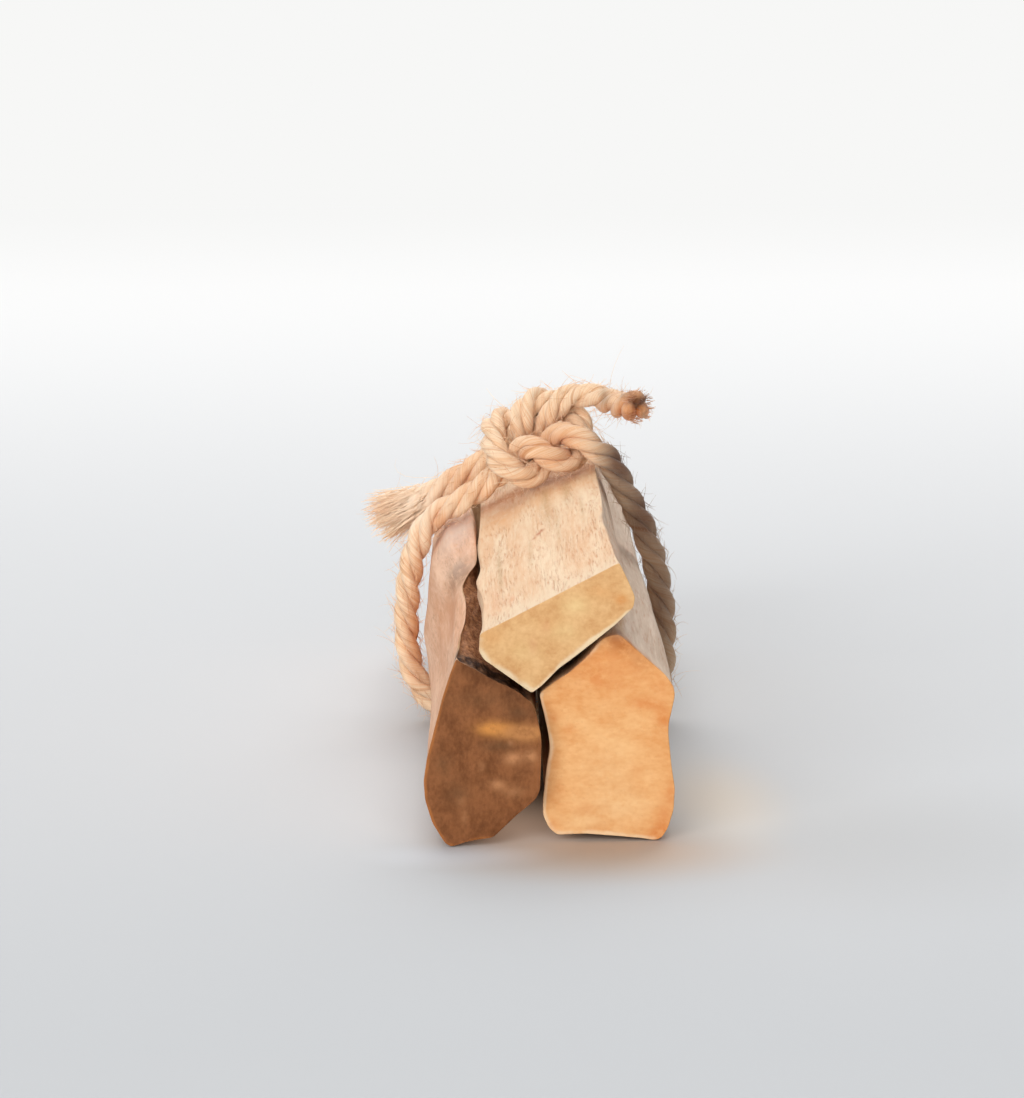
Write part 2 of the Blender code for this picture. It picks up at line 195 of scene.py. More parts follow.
def tubes_between_poles(count: int, rows: int, columns: int) -> tuple[Array, Array]:
    """Faces of closed tubes whose rings are rows and whose ends run to a pole each.

    A tube's first corner is its first pole, then come the rings one after another, and last
    the other pole. The next tube follows. Faces point outwards where a ring turns clockwise,
    as seen along the tube.

    Args:
        count: how many tubes.
        rows: rings from the first pole to the last.
        columns: corners in a ring.

    Returns:
        The quads between rings, and the triangles round the poles.
    """
    i = np.arange(rows - 1)[:, None] * columns + 1
    j = np.arange(columns)[None]
    k = (j + 1) % columns
    quads = np.stack([i + j, i + k, i + columns + k, i + columns + j], axis=-1).reshape(-1, 4)
    j, k = j[0], k[0]
    last = 1 + (rows - 1) * columns
    pole = last + columns
    first_fan = np.stack([np.zeros_like(j), 1 + k, 1 + j], axis=-1)
    last_fan = np.stack([np.full_like(j, pole), last + j, last + k], axis=-1)
    fans = np.concatenate([first_fan, last_fan])
    starts = (np.arange(count) * (pole + 1))[:, None, None]
    return (quads + starts).reshape(-1, 4), (fans + starts).reshape(-1, 3)


def placed(name: str, data: bpy.types.ID) -> bpy.types.Object:
    """Puts a mesh, a light or a camera into the scene as an object at the origin.

    Args:
        name: the object's name.
        data: what it shows.

    Returns:
        The new object.
    """
    made = bpy.data.objects.new(name, data)
    bpy.context.scene.collection.objects.link(made)
    return made


def make_piece(
    name: str, surface: Surface, finish: bpy.types.Material, smooth_angle: float
) -> bpy.types.Object:
    """Puts a surface into the scene as an object that sits at the origin.

    Args:
        name: the piece's name.
        surface: its mesh in the own frame.
        finish: its material.
        smooth_angle: faces that meet at less than this angle are shaded as one.

    Returns:
        The new object, pressed flat where it would reach under the floor.
    """
    mesh = bpy.data.meshes.new(name)
    points = PLACEMENT.points(surface.points)
    points[:, 2] = np.maximum(points[:, 2], 0.0)
    mesh.from_pydata(points.tolist(), [], surface.quads.tolist() + surface.triangles.tolist())
    for key, numbers in surface.values.items():
        kind, slot = ("FLOAT", "value") if numbers.ndim == 1 else ("FLOAT_VECTOR", "vector")
        layer = mesh.attributes.new(key, kind, "POINT")
        layer.data.foreach_set(slot, numbers.astype(np.float32).ravel())
    mesh.shade_smooth()
    mesh.set_sharp_from_angle(angle=smooth_angle)
    mesh.materials.append(finish)
    return placed(name, mesh)


@dataclass(frozen=True)
class Pattern:
    """Noise that a finish is painted with.

    A cell is (x, y, z) in millimetres, and the offset, in cells, sets one pattern apart from
    the next. Where two of the noise's values are given, it is carried from between them onto
    another range, along the smooth cubic.
    """

    cell: Triple
    offset: float = 0.0
    detail: float = 2.0
    roughness: float = 0.55
    between: Pair | None = None
    onto: Pair = (0.0, 1.0)


class Painter:
    """Builds one material's node tree."""

    def __init__(self, name: str) -> None:
        """Starts an empty material.

        Args:
            name: the material's name.
        """
        self.material = bpy.data.materials.new(name)
        self.material.use_nodes = True
        self.tree = self.material.node_tree
        self.tree.nodes.clear()

    def node(
        self, kind: str, inputs: Sequence[Input] | dict[str | int, Input] = (),
        output: str | int = 0, **settings: object,
    ) -> Socket | None:
        """Adds one node with its settings, its values and its links.

        Args:
            kind: the node's type name, without the leading ShaderNode.
            inputs: values, hex colours, or sockets to link from, in the order of the node's
                inputs or by their names or numbers.
            output: which of its outputs is wanted.
            settings: the node's own properties.

        Returns:
            That output, or None where the node has none.
        """
        node = self.tree.nodes.new("ShaderNode" + kind)
        for key, value in settings.items():
            setattr(node, key, value)
        for key, value in inputs.items() if isinstance(inputs, dict) else enumerate(inputs):
            if isinstance(value, Socket):
                self.tree.links.new(value, node.inputs[key])
            else:
                node.inputs[key].default_value = linear(value) if isinstance(value, str) else value
        return node.outputs[output] if node.outputs else None

    def own_place(self) -> Socket:
        """Turns Object coordinates back into the own frame.

        Returns:
            Where a point lies, in millimetres.
        """
        back = PLACEMENT.turn().inverted() @ Vector(PLACEMENT.shift)
        place = self.node("TexCoord", output="Object")
        return self.node("Mapping", (place, tuple(-back), (-PLACEMENT.lean, 0, 0), (1 / MM,) * 3))

    def pattern(self, place: Socket, pattern: Pattern, output: str = "Fac") -> Socket:
        """Lays a pattern: the place is divided by its cell and moved on by its offset.

        Args:
            place: where the surface point lies.
            pattern: the noise.
            output: which of the noise's outputs is wanted.

        Returns:
            The noise, in the range that the pattern asks for.
        """
        scale = tuple(1 / size for size in pattern.cell)
        place = self.node("VectorMath", (place, scale, (pattern.offset,) * 3), operation="MULTIPLY_ADD")
        noise = self.node(
            "TexNoise",
            {"Vector": place, "Scale": 1.0, "Detail": pattern.detail, "Roughness": pattern.roughness},
            output,
        )
        if pattern.between is None:
            return noise
        return self.node("MapRange", (noise, *pattern.between, *pattern.onto), **SMOOTH)

    def waved(self, place: Socket, waves: Pattern, sway: float) -> Socket:
        """Moves a place sideways, so that grain runs in waves.

        Args:
            place: where the surface point lies.
            waves: the noise that moves it.
            sway: twice the farthest that it moves.

        Returns:
            The moved place.
        """
        drift = self.pattern(place, waves, "Color")
        centred = self.node("VectorMath", (drift, (0.5, 0.5, 0.5)), operation="SUBTRACT")
        return self.node("VectorMath", (centred, (sway, 0.0, sway), place), operation="MULTIPLY_ADD")

    def weighted(self, *parts: tuple[Socket, float]) -> Input:
        """Adds numbers up by their weights.

        Args:
            parts: each number and its weight.

        Returns:
            The sum.
        """
        total: Input = 0.0
        for number, weight in parts:
            total = self.node("Math", (number, weight, total), operation="MULTIPLY_ADD")
        return total

    def layered(self, colour: Input, *layers: tuple[Input, Input]) -> Input:
        """Lays colours over one another.

        Args:
            colour: the lowest colour.
            layers: the share and the colour of each layer above, from the lowest up.

        Returns:
            The colour on top.
        """
        for share, above in layers:
            colour = self.node("Mix", {0: share, 6: colour, 7: above}, 2, data_type="RGBA")
        return colour

    def relief(self, *layers: tuple[Socket, float]) -> Socket:
        """Tilts the normal as relief would.

        Args:
            layers: each height, from 0 to 1, and how many millimetres 1 stands for.

        Returns:
            The normal.
        """
        inputs: dict[str | int, Input] = {"Strength": 1.0}
        for height, depth in layers:
            inputs.update({"Height": height, "Distance": depth * MM})
            inputs["Normal"] = self.node("Bump", inputs)
        return inputs["Normal"]

    def finished(self, inputs: dict[str | int, Input]) -> bpy.types.Material:
        """Closes the tree with the surface shader and its output."""
        self.node("OutputMaterial", {"Surface": self.node("BsdfPrincipled", inputs)})
        return self.material


@dataclass(frozen=True)
class Tone:
    """Two colours that the fibres of one surface vary between, as sRGB hex."""

    light: str
    dark: str


@dataclass(frozen=True)
class Patch:
    """A soft-edged spot at a place of the own frame, with its reach along x, y and z."""

    centre: Triple
    reach: Triple
    amount: float = 1.0

    def strength(self, points: Array) -> Array:
        """The amount, falling off with the square of the distance as a bell curve."""
        away = (points - np.array(self.centre)) / np.array(self.reach)
        return self.amount * np.exp(-(away**2).sum(axis=1))


def end_spots(y: float, depth: float, *spots: tuple[float, ...]) -> tuple[Patch, ...]:
    """Spots on the sawn end at that y, each given as (x, z, reach in x, reach in z, amount)."""
    return tuple(Patch((x, y, z), (wide, depth, high), amount) for x, z, wide, high, amount in spots)


@dataclass(frozen=True)
class Stain:
    """Spots of one colour: the wood's or the twine's own, such as resin, heartwood or weathering, or painted
    shade, painted shadow and painted bounce light.
    """

    name: str
    colour: str
    patches: tuple[Patch, ...]
    most: float = 0.95

    def strength(self, points: Array) -> Array:
        """The patches added up, up to the most that it covers."""
        return np.clip(sum(patch.strength(points) for patch in self.patches), 0, self.most)


@dataclass(frozen=True)
class Side:
    """A side of a stick that split along another layer of the wood, or one darkened as painted shade, as the
    top stick's shaded flank is.

    It runs from one corner of the outline to another, clockwise, and from one distance along
    the stick to another, and fades over some way into its neighbours. Crumb is the depth of
    short broken relief, ridge of the long grain.
    """

    name: str
    corners: Pair
    fade: float
    tone: Tone
    ridge: float = 0.16
    crumb: float = 0.0
    span: Pair = (-10.0, 110.0)
    span_fade: float = 2.5


@dataclass(frozen=True)
class PaloSantoFinish:
    """Raw palo santo, split along the grain and sawn across it, unsanded and unoiled.

    The split sides show fibres as long fine streaks, a crinkle where they were pulled apart,
    and torn grain as short dashes of a warmer colour that come and go. They are palest along
    the brink, where the saw's blade brushed them. The sawn end shows softly mottled end grain
    with fine pores and the saw's marks, and a pale rim where its edge is worn. Sizes are in
    millimetres. The fibres are drawn 0.34 mm wide, several times their real width, so that
    they show. The two mixes weigh crinkle, fibres and a third pattern: bands in the colour,
    and tears in the relief.
    """

    name: str
    sides: Tone
    end: Tone
    rim: str
    vessel: str
    brink: str
    brink_share: float = 0.3
    vessel_share: float = 0.35
    rim_share: float = 0.7
    waves: Pattern = Pattern((3.5, 22.0, 3.5), detail=1.0)
    sway: float = 1.2
    fibre: Pattern = Pattern((0.34, 6.5, 0.34), 3.1, 3.0, 0.6)
    bands: Pattern = Pattern((2.6, 20.0, 2.6), 7.7)
    crinkle: Pattern = Pattern((0.42, 2.6, 0.42), 17.0, roughness=0.6)
    tears: Pattern = Pattern((0.2, 2.4, 0.2), 12.4, between=(0.46, 0.76))
    tear_groups: Pattern = Pattern((2.2, 9.0, 2.2), 31.0, 3.0, between=(0.36, 0.6))
    crumbs: Pattern = Pattern((0.32, 0.6, 0.32), 5.0, 3.0, 0.7, (0.3, 0.7))
    colour_mix: Triple = (0.25, 0.35, 0.5)
    colour_range: Pair = (0.38, 0.72)
    relief_mix: Triple = (0.8, 0.5, -0.5)
    mottle: Triple = (2.4, 9.0, 2.4)
    mottle_range: Pair = (0.32, 0.82)
    mottle_mix: Pair = (0.35, 0.75)
    mottle_noise: Triple = (21.0, 5.0, 0.6)
    speck_size: float = 0.2
    speck_offset: float = 4.0
    pore: Triple = (0.42, 2.0, 0.42)
    pore_edge: Pair = (0.1, 0.4)
    pore_share: float = 0.05
    saw_marks: float = 1.7272
    saw_stretch: Triple = (1.0, 0.5, 1.0)
    saw_turn: float = 0.35
    saw_waver: float = 1.6
    saw_mix: Pair = (0.45, -0.3)
    rim_wear: Pattern = Pattern((1.6, 3.0, 1.6), 9.0, 3.0)
    rim_range: Pair = (0.12, 0.5)
    stain_edges: Pattern = Pattern((0.8, 1.6, 0.8), 15.0, 4.0, 0.65, (0.26, 0.58), (0.4, 1.0))
    shine: float = 0.32
    side_roughness: float = 0.72
    end_roughness: float = 0.66
    fibre_depth: float = 0.07
    pore_depth: float = 0.05

    def split_side(self, paint: Painter, place: Socket, zones: Sequence[Side]) -> tuple[Socket, Socket]:
        """Colour and height of the split sides.

        Args:
            paint: the tree under work.
            place: the own-frame place.
            zones: sides with tones of their own.

        Returns:
            The colour, and the fibres' height.
        """
        wavy = paint.waved(place, self.waves, self.sway)
        fibres, bands, crinkle, tears, groups = (
            paint.pattern(wavy, pattern)
            for pattern in (self.fibre, self.bands, self.crinkle, self.tears, self.tear_groups)
        )
        grain = paint.weighted(*zip((crinkle, fibres, bands), self.colour_mix))
        share = paint.node("MapRange", (grain, *self.colour_range), **SMOOTH)
        crumbs = paint.pattern(place, self.crumbs)
        colour = paint.layered(self.sides.light, (share, self.sides.dark))
        for zone in zones:
            own = paint.layered(zone.tone.light, (crumbs if zone.crumb else share, zone.tone.dark))
            where = paint.node("Attribute", output="Fac", attribute_name=zone.name)
            colour = paint.layered(colour, (where, own))
        brink = paint.node("Attribute", output="Fac", attribute_name="brink")
        brink = paint.node("Math", (brink, self.brink_share), operation="MULTIPLY")
        torn = paint.node("Math", (tears, groups), operation="MULTIPLY")
        vessels = paint.node("Math", (torn, self.vessel_share), operation="MULTIPLY")
        colour = paint.layered(colour, (brink, self.brink), (vessels, self.vessel))
        return colour, paint.weighted(*zip((crinkle, fibres, torn), self.relief_mix))

    def sawn_end(self, paint: Painter, place: Socket) -> tuple[Socket, Socket]:
        """Colour and height of the sawn ends.

        The saw's marks are a wave across the end. Blender's wave goes through a full turn in
        2 pi / 20 of its own unit, so its scale is pi / 10 over the distance between marks. The
        stretch makes the marks' waver change half as fast along the stick as across it.

        Args:
            paint: the tree under work.
            place: the own-frame place.

        Returns:
            The colour, and the height of pores and saw marks.
        """
        mottle = paint.pattern(place, Pattern(self.mottle, *self.mottle_noise))
        specks = tuple(size * self.speck_size for size in self.mottle)
        speck = paint.pattern(place, Pattern(specks, self.speck_offset))
        share = paint.weighted(*zip((speck, mottle), self.mottle_mix))
        share = paint.node("MapRange", (share, *self.mottle_range), **SMOOTH)
        cells = paint.node("VectorMath", (place, tuple(1 / size for size in self.pore)), operation="MULTIPLY")
        pores = paint.node("TexVoronoi", {"Vector": cells, "Scale": 1.0}, "Distance")
        pores = paint.node("MapRange", (pores, *self.pore_edge, 1.0, 0.0), **SMOOTH)
        shown = paint.node("Math", (pores, self.pore_share), operation="MULTIPLY")
        turn = (0, self.saw_turn, 0)
        turned = paint.node("Mapping", {"Vector": place, "Rotation": turn, "Scale": self.saw_stretch})
        marks = paint.node(
            "TexWave",
            {"Vector": turned, "Scale": pi / 10 / self.saw_marks, "Distortion": self.saw_waver,
             "Detail": 2.0, "Detail Scale": 2.0},
            "Fac",
            bands_direction="Z",
        )
        worn = paint.node("Attribute", output="Fac", attribute_name="rim")
        worn = paint.node("Math", (worn, paint.pattern(place, self.rim_wear)), operation="MULTIPLY")
        worn = paint.node("MapRange", (worn, *self.rim_range, 0.0, self.rim_share), **SMOOTH)
        layers = ((share, self.end.dark), (shown, self.vessel), (worn, self.rim))
        colour = paint.layered(self.end.light, *layers)
        return colour, paint.weighted(*zip((marks, pores), self.saw_mix))

    def make(self, zones: Sequence[Side], stains: Sequence[Stain]) -> bpy.types.Material:
        """Makes the material for one stick.

        Args:
            zones: sides with tones of their own.
            stains: coloured spots, whose edges are broken by noise.

        Returns:
            The material.
        """
        paint = Painter(self.name)
        place = paint.own_place()
        sawn = paint.node("Attribute", output="Fac", attribute_name="sawn")
        split = paint.node("Math", (1.0, sawn), operation="SUBTRACT")
        side_colour, side_height = self.split_side(paint, place, zones)
        end_colour, end_height = self.sawn_end(paint, place)
        edges = paint.pattern(place, self.stain_edges)
        layers = [(sawn, end_colour)]
        for stain in stains:
            spots = paint.node("Attribute", output="Fac", attribute_name=stain.name)
            spots = paint.node("Math", (spots, edges), operation="MULTIPLY")
            layers.append((spots, stain.colour))
        normal = paint.relief(
            (paint.node("Math", (side_height, split), operation="MULTIPLY"), self.fibre_depth),
            (paint.node("Math", (end_height, sawn), operation="MULTIPLY"), self.pore_depth),
        )
        blend = (sawn, 0.0, 1.0, self.side_roughness, self.end_roughness)
        roughness = paint.node("MapRange", blend, **SMOOTH)
        return paint.finished(
            {"Base Color": paint.layered(side_colour, *layers), "Roughness": roughness,
             "Normal": normal, "IOR": 1.48, "Specular IOR Level": self.shine}
        )


@dataclass(frozen=True)
class JuteFinish:
    """Laid natural jute: dry bast fibre spun and twisted without dye or wax.

    It is matt with a faint silky sheen along the fibres, and each fibre differs a little in
    colour. The fibres are drawn about 0.12 mm wide, twice their real width, so that they show.
    Loose ones turn browner over the paler and the darker range of their shade.
    """

    light: str = "#f8dfc0"
    middle: str = "#eec49a"
    dark: str = "#c0804e"
    fibre: Pattern = Pattern((0.12, 0.12, 3.2), 2.0, roughness=0.6)
    fibre_range: Pair = (0.36, 0.66)
    fibre_depth: float = 0.09
    clumps: Pattern = Pattern((0.5, 0.5, 7.0), 8.0, between=(0.52, 0.78), onto=(0.0, 0.75))
    paler: Pair = (0.0, 0.6)
    darker: Pair = (0.7, 1.0)
    darkest: float = 0.7

    def stained(self, paint: Painter, colour: Input, stains: Sequence[Stain]) -> Input:
        """Lays each stain over a colour.

        Args:
            paint: the tree under work.
            colour: the colour under the stains.
            stains: the stains, from the lowest up.

        Returns:
            The stained colour.
        """
        for stain in stains:
            spots = paint.node("Attribute", output="Fac", attribute_name=stain.name)
            colour = paint.layered(colour, (spots, stain.colour))
        return colour

    def make(self, stains: Sequence[Stain]) -> bpy.types.Material:
        """Makes the material of the plies, which follows each ply's own twist.

        Args:
            stains: coloured spots.

        Returns:
            The material.
        """
        paint = Painter("laid_natural_jute")
        lay = paint.node("Attribute", output="Vector", attribute_name="lay")
        fibres = paint.pattern(lay, self.fibre)
        share = paint.node("MapRange", (fibres, *self.fibre_range), **SMOOTH)
        # The valleys between the plies are darkened as painted shade.
        valley = paint.node("Attribute", output="Fac", attribute_name="valley")
        layers = ((share, self.middle), (paint.pattern(lay, self.clumps), self.dark), (valley, self.dark))
        colour = self.stained(paint, paint.layered(self.light, *layers), stains)
        return paint.finished(
            {"Base Color": colour, "Roughness": 0.86, "Normal": paint.relief((fibres, self.fibre_depth)),
             "Specular IOR Level": 0.25, "Sheen Weight": 0.25, "Sheen Roughness": 0.5}
        )

    def make_loose(self, stains: Sequence[Stain]) -> bpy.types.Material:
        """Makes the material of the loose fibres, each with its own share of pale and brown.

        Args:
            stains: coloured spots.

        Returns:
            The material.
        """
        paint = Painter("loose_jute_fibre")
        shade = paint.node("Attribute", output="Fac", attribute_name="shade")
        paler = paint.node("MapRange", (shade, *self.paler), **SMOOTH)
        darker = paint.node("MapRange", (shade, *self.darker, 0.0, self.darkest), **SMOOTH)
        layers = ((paler, self.middle), (darker, self.dark))
        colour = self.stained(paint, paint.layered(self.light, *layers), stains)
        return paint.finished(
            {"Base Color": colour, "Roughness": 0.6, "Specular IOR Level": 0.3, "Sheen Weight": 0.2}
        )


class Draw(IntEnum):
    """What random numbers on a stick are drawn for: each is added to the stick's seed."""

    SWAY = 1
    RIDGES = 10
    LEDGES = 20
    CRUMBS = 30
    CHIPS = 40
    SIDES = 50
    SAW = 60


@dataclass(frozen=True)
class Stick:
    """One split stick.

    Its outline is clockwise as seen from the near end. The drift says how far a numbered
    corner has moved at a distance along the stick, as (distance, right, up), and a corner that
    isn't named moves as the named ones on either side.

    The waves are (number round the stick, length). The layers of torn grain and the ledges are
    (across, along, share): noise with cells of that size, and its share of the depth. Chips
    are the least share of the bevel's depth and what noise adds to it. The saw's cells are
    counted from the middle of an end outwards, and round it.
    """

    node: str
    slot: str
    near_end: float
    far_end: float
    outline: tuple[Pair, ...]
    drift: dict[int, Track]
    relief: float
    seed: int
    bevel: float
    finish: PaloSantoFinish
    zones: tuple[Side, ...] = ()
    stains: tuple[Stain, ...] = ()
    swells: tuple[Patch, ...] = ()
    ridge: float = 0.16
    rim_width: float = 0.42
    rim_side: Pair = (-0.86, -0.51)
    rim_turn: Pair = (-0.1, 0.55)
    brink_reach: Pair = (8.0, 0.5)
    bevel_length: float = 0.5
    columns: int = 288
    side_rows: int = 236
    cap_rings: int = 25
    cap_gap: float = 0.6
    bevel_rows: int = 4
    corner_bell: float = 1.5
    bell_reach: int = 4
    waves: tuple[Pair, ...] = ((3, 70.0), (5, 46.0), (8, 31.0), (13, 24.0))
    wave_fade: float = 6.0
    ridge_layers: Track = ((2.4, 26.0, 0.42), (0.9, 11.0, 0.34), (0.45, 4.5, 0.24))
    crumb_layers: Track = ((0.95, 1.3, 0.6), (0.45, 0.6, 0.4))
    ledge: Triple = (3.4, 21.0, 0.45)
    ledge_rise: Pair = (0.55, 0.62)
    sway: float = 2.2
    sway_length: float = 17.0
    sway_cells: int = 6
    zone_wander: Pair = (1.6, 3.0)
    zone_swing: float = 1.2
    end_fade: float = 2.5
    end_relief: float = 0.12
    sawn_bevel: float = 0.7
    chips: Pair = (0.75, 0.35)
    chip_cells: int = 34
    saw_drift: float = 0.05
    saw_cells: tuple[int, int] = (3, 9)

    def corner_distances(self) -> Array:
        """Distance of each corner from the first, round the near outline and back to the first."""
        return walked_along(np.array(self.outline + self.outline[:1]))

    def round_share(self) -> Array:
        """How far round the stick each column lies, as one row of shares of the way."""
        return np.arange(self.columns)[None] / self.columns

    def places(self) -> Array:
        """Evenly spaced places round the outline, as corner numbers with fractions."""
        ends = self.corner_distances()
        return np.interp(self.round_share()[0] * ends[-1], ends, np.arange(len(ends)))

    def weights(self, at: Array, known: Array) -> Array:
        """How much of each known corner makes up each place, straight between them.

        Args:
            at: the places, as corner numbers with fractions.
            known: the numbers of the known corners.

        Returns:
            A row of shares for each place.
        """
        count = len(self.outline)
        rows = [np.interp(at, known, unit_row, period=count) for unit_row in np.eye(len(known))]
        return np.stack(rows, axis=1)

    def sections(self, distances: Array) -> Array:
        """The outline at each distance, rounded at its corners.

        It is the near outline plus its drift, read at every place. Each point is then the
        bell-weighted mean of its neighbours, which rounds corners over some 0.3 mm.

        Args:
            distances: distances along the stick.

        Returns:
            (right, up) for each distance and place.
        """
        named = sorted(self.drift)
        tracks = [np.array(self.drift[number], float) for number in named]
        moves = np.stack([curve_through(t[:, 0], t[:, 1:], distances) for t in tracks], axis=1)
        numbers = np.arange(len(self.outline))
        moved = np.einsum("cn,dnk->dck", self.weights(numbers, np.array(named)), moves)
        corners = np.array(self.outline)[None] + moved
        flat = np.einsum("pc,dck->dpk", self.weights(self.places(), numbers), corners)
        steps = range(-self.bell_reach, self.bell_reach + 1)
        bell = np.exp(-((np.array(steps) / self.corner_bell) ** 2) / 2)
        return sum(w * np.roll(flat, step, axis=1) for w, step in zip(bell / bell.sum(), steps))

    def inward(self, sections: Array) -> Array:
        """Unit normals of clockwise outlines, pointing into the wood."""
        along = np.roll(sections, -1, axis=1) - np.roll(sections, 1, axis=1)
        return unit(np.stack([along[..., 1], -along[..., 0]], axis=-1))

    def wave_depth(self, distances: Array) -> Array:
        """Long shallow waves of the split surface, as in the solid, fading out at the ends.

        Args:
            distances: distances along the stick.

        Returns:
            Depth under the outline at each distance and place.
        """
        random = np.random.default_rng(self.seed)
        turn = 2 * pi * self.places()[None] / len(self.outline)
        depth = np.zeros((len(distances), self.columns))
        for count, length in self.waves:
            phase = random.uniform(0, 2 * pi)
            depth += (1 + np.sin(count * turn + phase + 2 * pi * distances[:, None] / length)) / 2
        fade = self.from_end(distances) / self.wave_fade
        return self.relief * depth / len(self.waves) * np.clip(fade, 0, 1)[:, None]

    def noise(self, share: Array, walk: Array, cell: Sequence[float], seed: int) -> Array:
        """Noise on the sides, with cells so many millimetres round the stick and along it."""
        cells = round(self.corner_distances()[-1] / cell[0])
        return lattice_noise(share, walk / cell[1], cells, self.seed + seed)

    def summed(self, share: Array, walk: Array, layers: Track, seed: int) -> Array:
        """Layers of noise on the sides, each times its share, added up."""
        noises = (self.noise(share, walk, layer, seed + number) for number, layer in enumerate(layers))
        return sum(layer[2] * noise for layer, noise in zip(layers, noises))

    def zone_share(self, zone: Side, distances: Array) -> Array:
        """How much each place belongs to a side: 1 between its corners, with an uneven edge.

        Args:
            zone: the side.
            distances: distances along the stick.

        Returns:
            The share at each distance and place.
        """
        ends = self.corner_distances()
        start, stop = np.interp(np.array(zone.corners), np.arange(len(ends)), ends)
        perimeter = ends[-1]
        middle, half = (start + stop) / 2, (stop - start) / 2
        walked = self.round_share() * perimeter - middle
        away = np.abs((walked + perimeter / 2) % perimeter - perimeter / 2)
        walk = distances[:, None]
        wander = 2 * self.noise(self.round_share(), walk, self.zone_wander, Draw.SIDES) - 1
        beside = smooth_step(-zone.fade, zone.fade, away - half + self.zone_swing * wander * zone.fade)
        moved = walk + wander * zone.span_fade
        first, last = zone.span
        before = smooth_step(zone.span_fade, -zone.span_fade, moved - first)
        beyond = smooth_step(-zone.span_fade, zone.span_fade, moved - last)
        return (1 - beside) * (1 - before) * (1 - beyond)

    def fine_depth(self, distances: Array) -> Array:
        """Torn grain: long ridges that sway along the stick, and crumb on its broken sides.

        The ridges are three layers of noise, ever finer and all much longer along the grain.
        A fourth, squarer one makes the ledges where a splinter ended.

        Args:
            distances: distances along the stick.

        Returns:
            Depth under the outline at each distance and place.
        """
        walk = distances[:, None]
        share = self.round_share()
        sway = lattice_noise(share, walk / self.sway_length, self.sway_cells, self.seed + Draw.SWAY) - 0.5
        share = share + sway * self.sway / self.corner_distances()[-1]
        ledges = smooth_step(*self.ledge_rise, self.noise(share, walk, self.ledge, Draw.LEDGES))
        ridges = self.summed(share, walk, self.ridge_layers, Draw.RIDGES) + self.ledge[2] * ledges
        ridge_height = np.full_like(ridges, self.ridge)
        crumb_height = np.zeros_like(ridges)
        for zone in self.zones:
            own = self.zone_share(zone, distances)
            ridge_height += (zone.ridge - ridge_height) * own
            crumb_height += (zone.crumb - crumb_height) * own
        crumbs = self.summed(share, walk, self.crumb_layers, Draw.CRUMBS)
        return ridge_height * ridges + crumb_height * crumbs

    def rows(self) -> tuple[Array, Array, Array, Array]:
        """Where the rings of the grid lie, from the near pole to the far one.

        Returns:
            Distance along, inset under the outline, share of the way from the middle to the
            outline, and how much of the ring is sawn end.
        """
        cap, edge, middle = np.ones(self.cap_rings), np.ones(self.bevel_rows), np.ones(self.side_rows)
        rings = np.arange(1, self.cap_rings + 1) / (self.cap_rings + self.cap_gap)
        arc = np.linspace(0, pi / 2, self.bevel_rows, endpoint=False)
        near = self.near_end + self.bevel_length * (1 - np.cos(arc))
        far = self.far_end - self.bevel_length * (1 - np.cos(arc[::-1]))
        sides = (self.near_end + self.bevel_length, self.far_end - self.bevel_length)
        inner = np.linspace(*sides, self.side_rows)
        bevel = self.bevel * (1 - np.sin(arc))
        sawn = 1 - smooth_step(0.0, self.sawn_bevel, arc / (pi / 2))
        distance = np.concatenate([cap * self.near_end, near, inner, far, cap * self.far_end])
        inset = np.concatenate([cap * self.bevel, bevel, 0 * middle, bevel[::-1], cap * self.bevel])
        reach = np.concatenate([rings, edge, middle, edge, rings[::-1]])
        cut = np.concatenate([cap, sawn, 0 * middle, sawn[::-1], cap])
        return distance, inset, reach, cut

    def depth(self, distance: Array, inset: Array, outline: Array) -> Array:
        """How far each point of the grid lies under the outline.

        It is the waves, the torn grain and the bevel with its chips, less the swells. On the
        rings of an end it is that of the last ring before it.

        Args:
            distance: distance along the stick of each ring.
            inset: depth of the bevel at each ring.
            outline: the section at each ring.

        Returns:
            Depth at each ring and place.
        """
        fade = np.clip(self.from_end(distance) / self.end_fade + self.end_relief, 0, 1)[:, None]
        flat = np.zeros((1, self.columns))
        edge_noise = lattice_noise(self.round_share(), flat, self.chip_cells, self.seed + Draw.CHIPS)
        chips = self.chips[0] + self.chips[1] * edge_noise
        depth = self.wave_depth(distance) + self.fine_depth(distance) * fade + inset[:, None] * chips
        walk = distance[:, None] + 0 * depth
        beside = np.stack([outline[..., 0], walk, outline[..., 1]], axis=-1).reshape(-1, 3)
        for patch in self.swells:
            depth -= patch.strength(beside).reshape(depth.shape)
        depth[: self.cap_rings] = depth[self.cap_rings]
        depth[-self.cap_rings :] = depth[-self.cap_rings - 1]
        return depth

    def from_end(self, distance: Array) -> Array:
        """Distance to the nearer end."""
        return np.minimum(distance - self.near_end, self.far_end - distance)

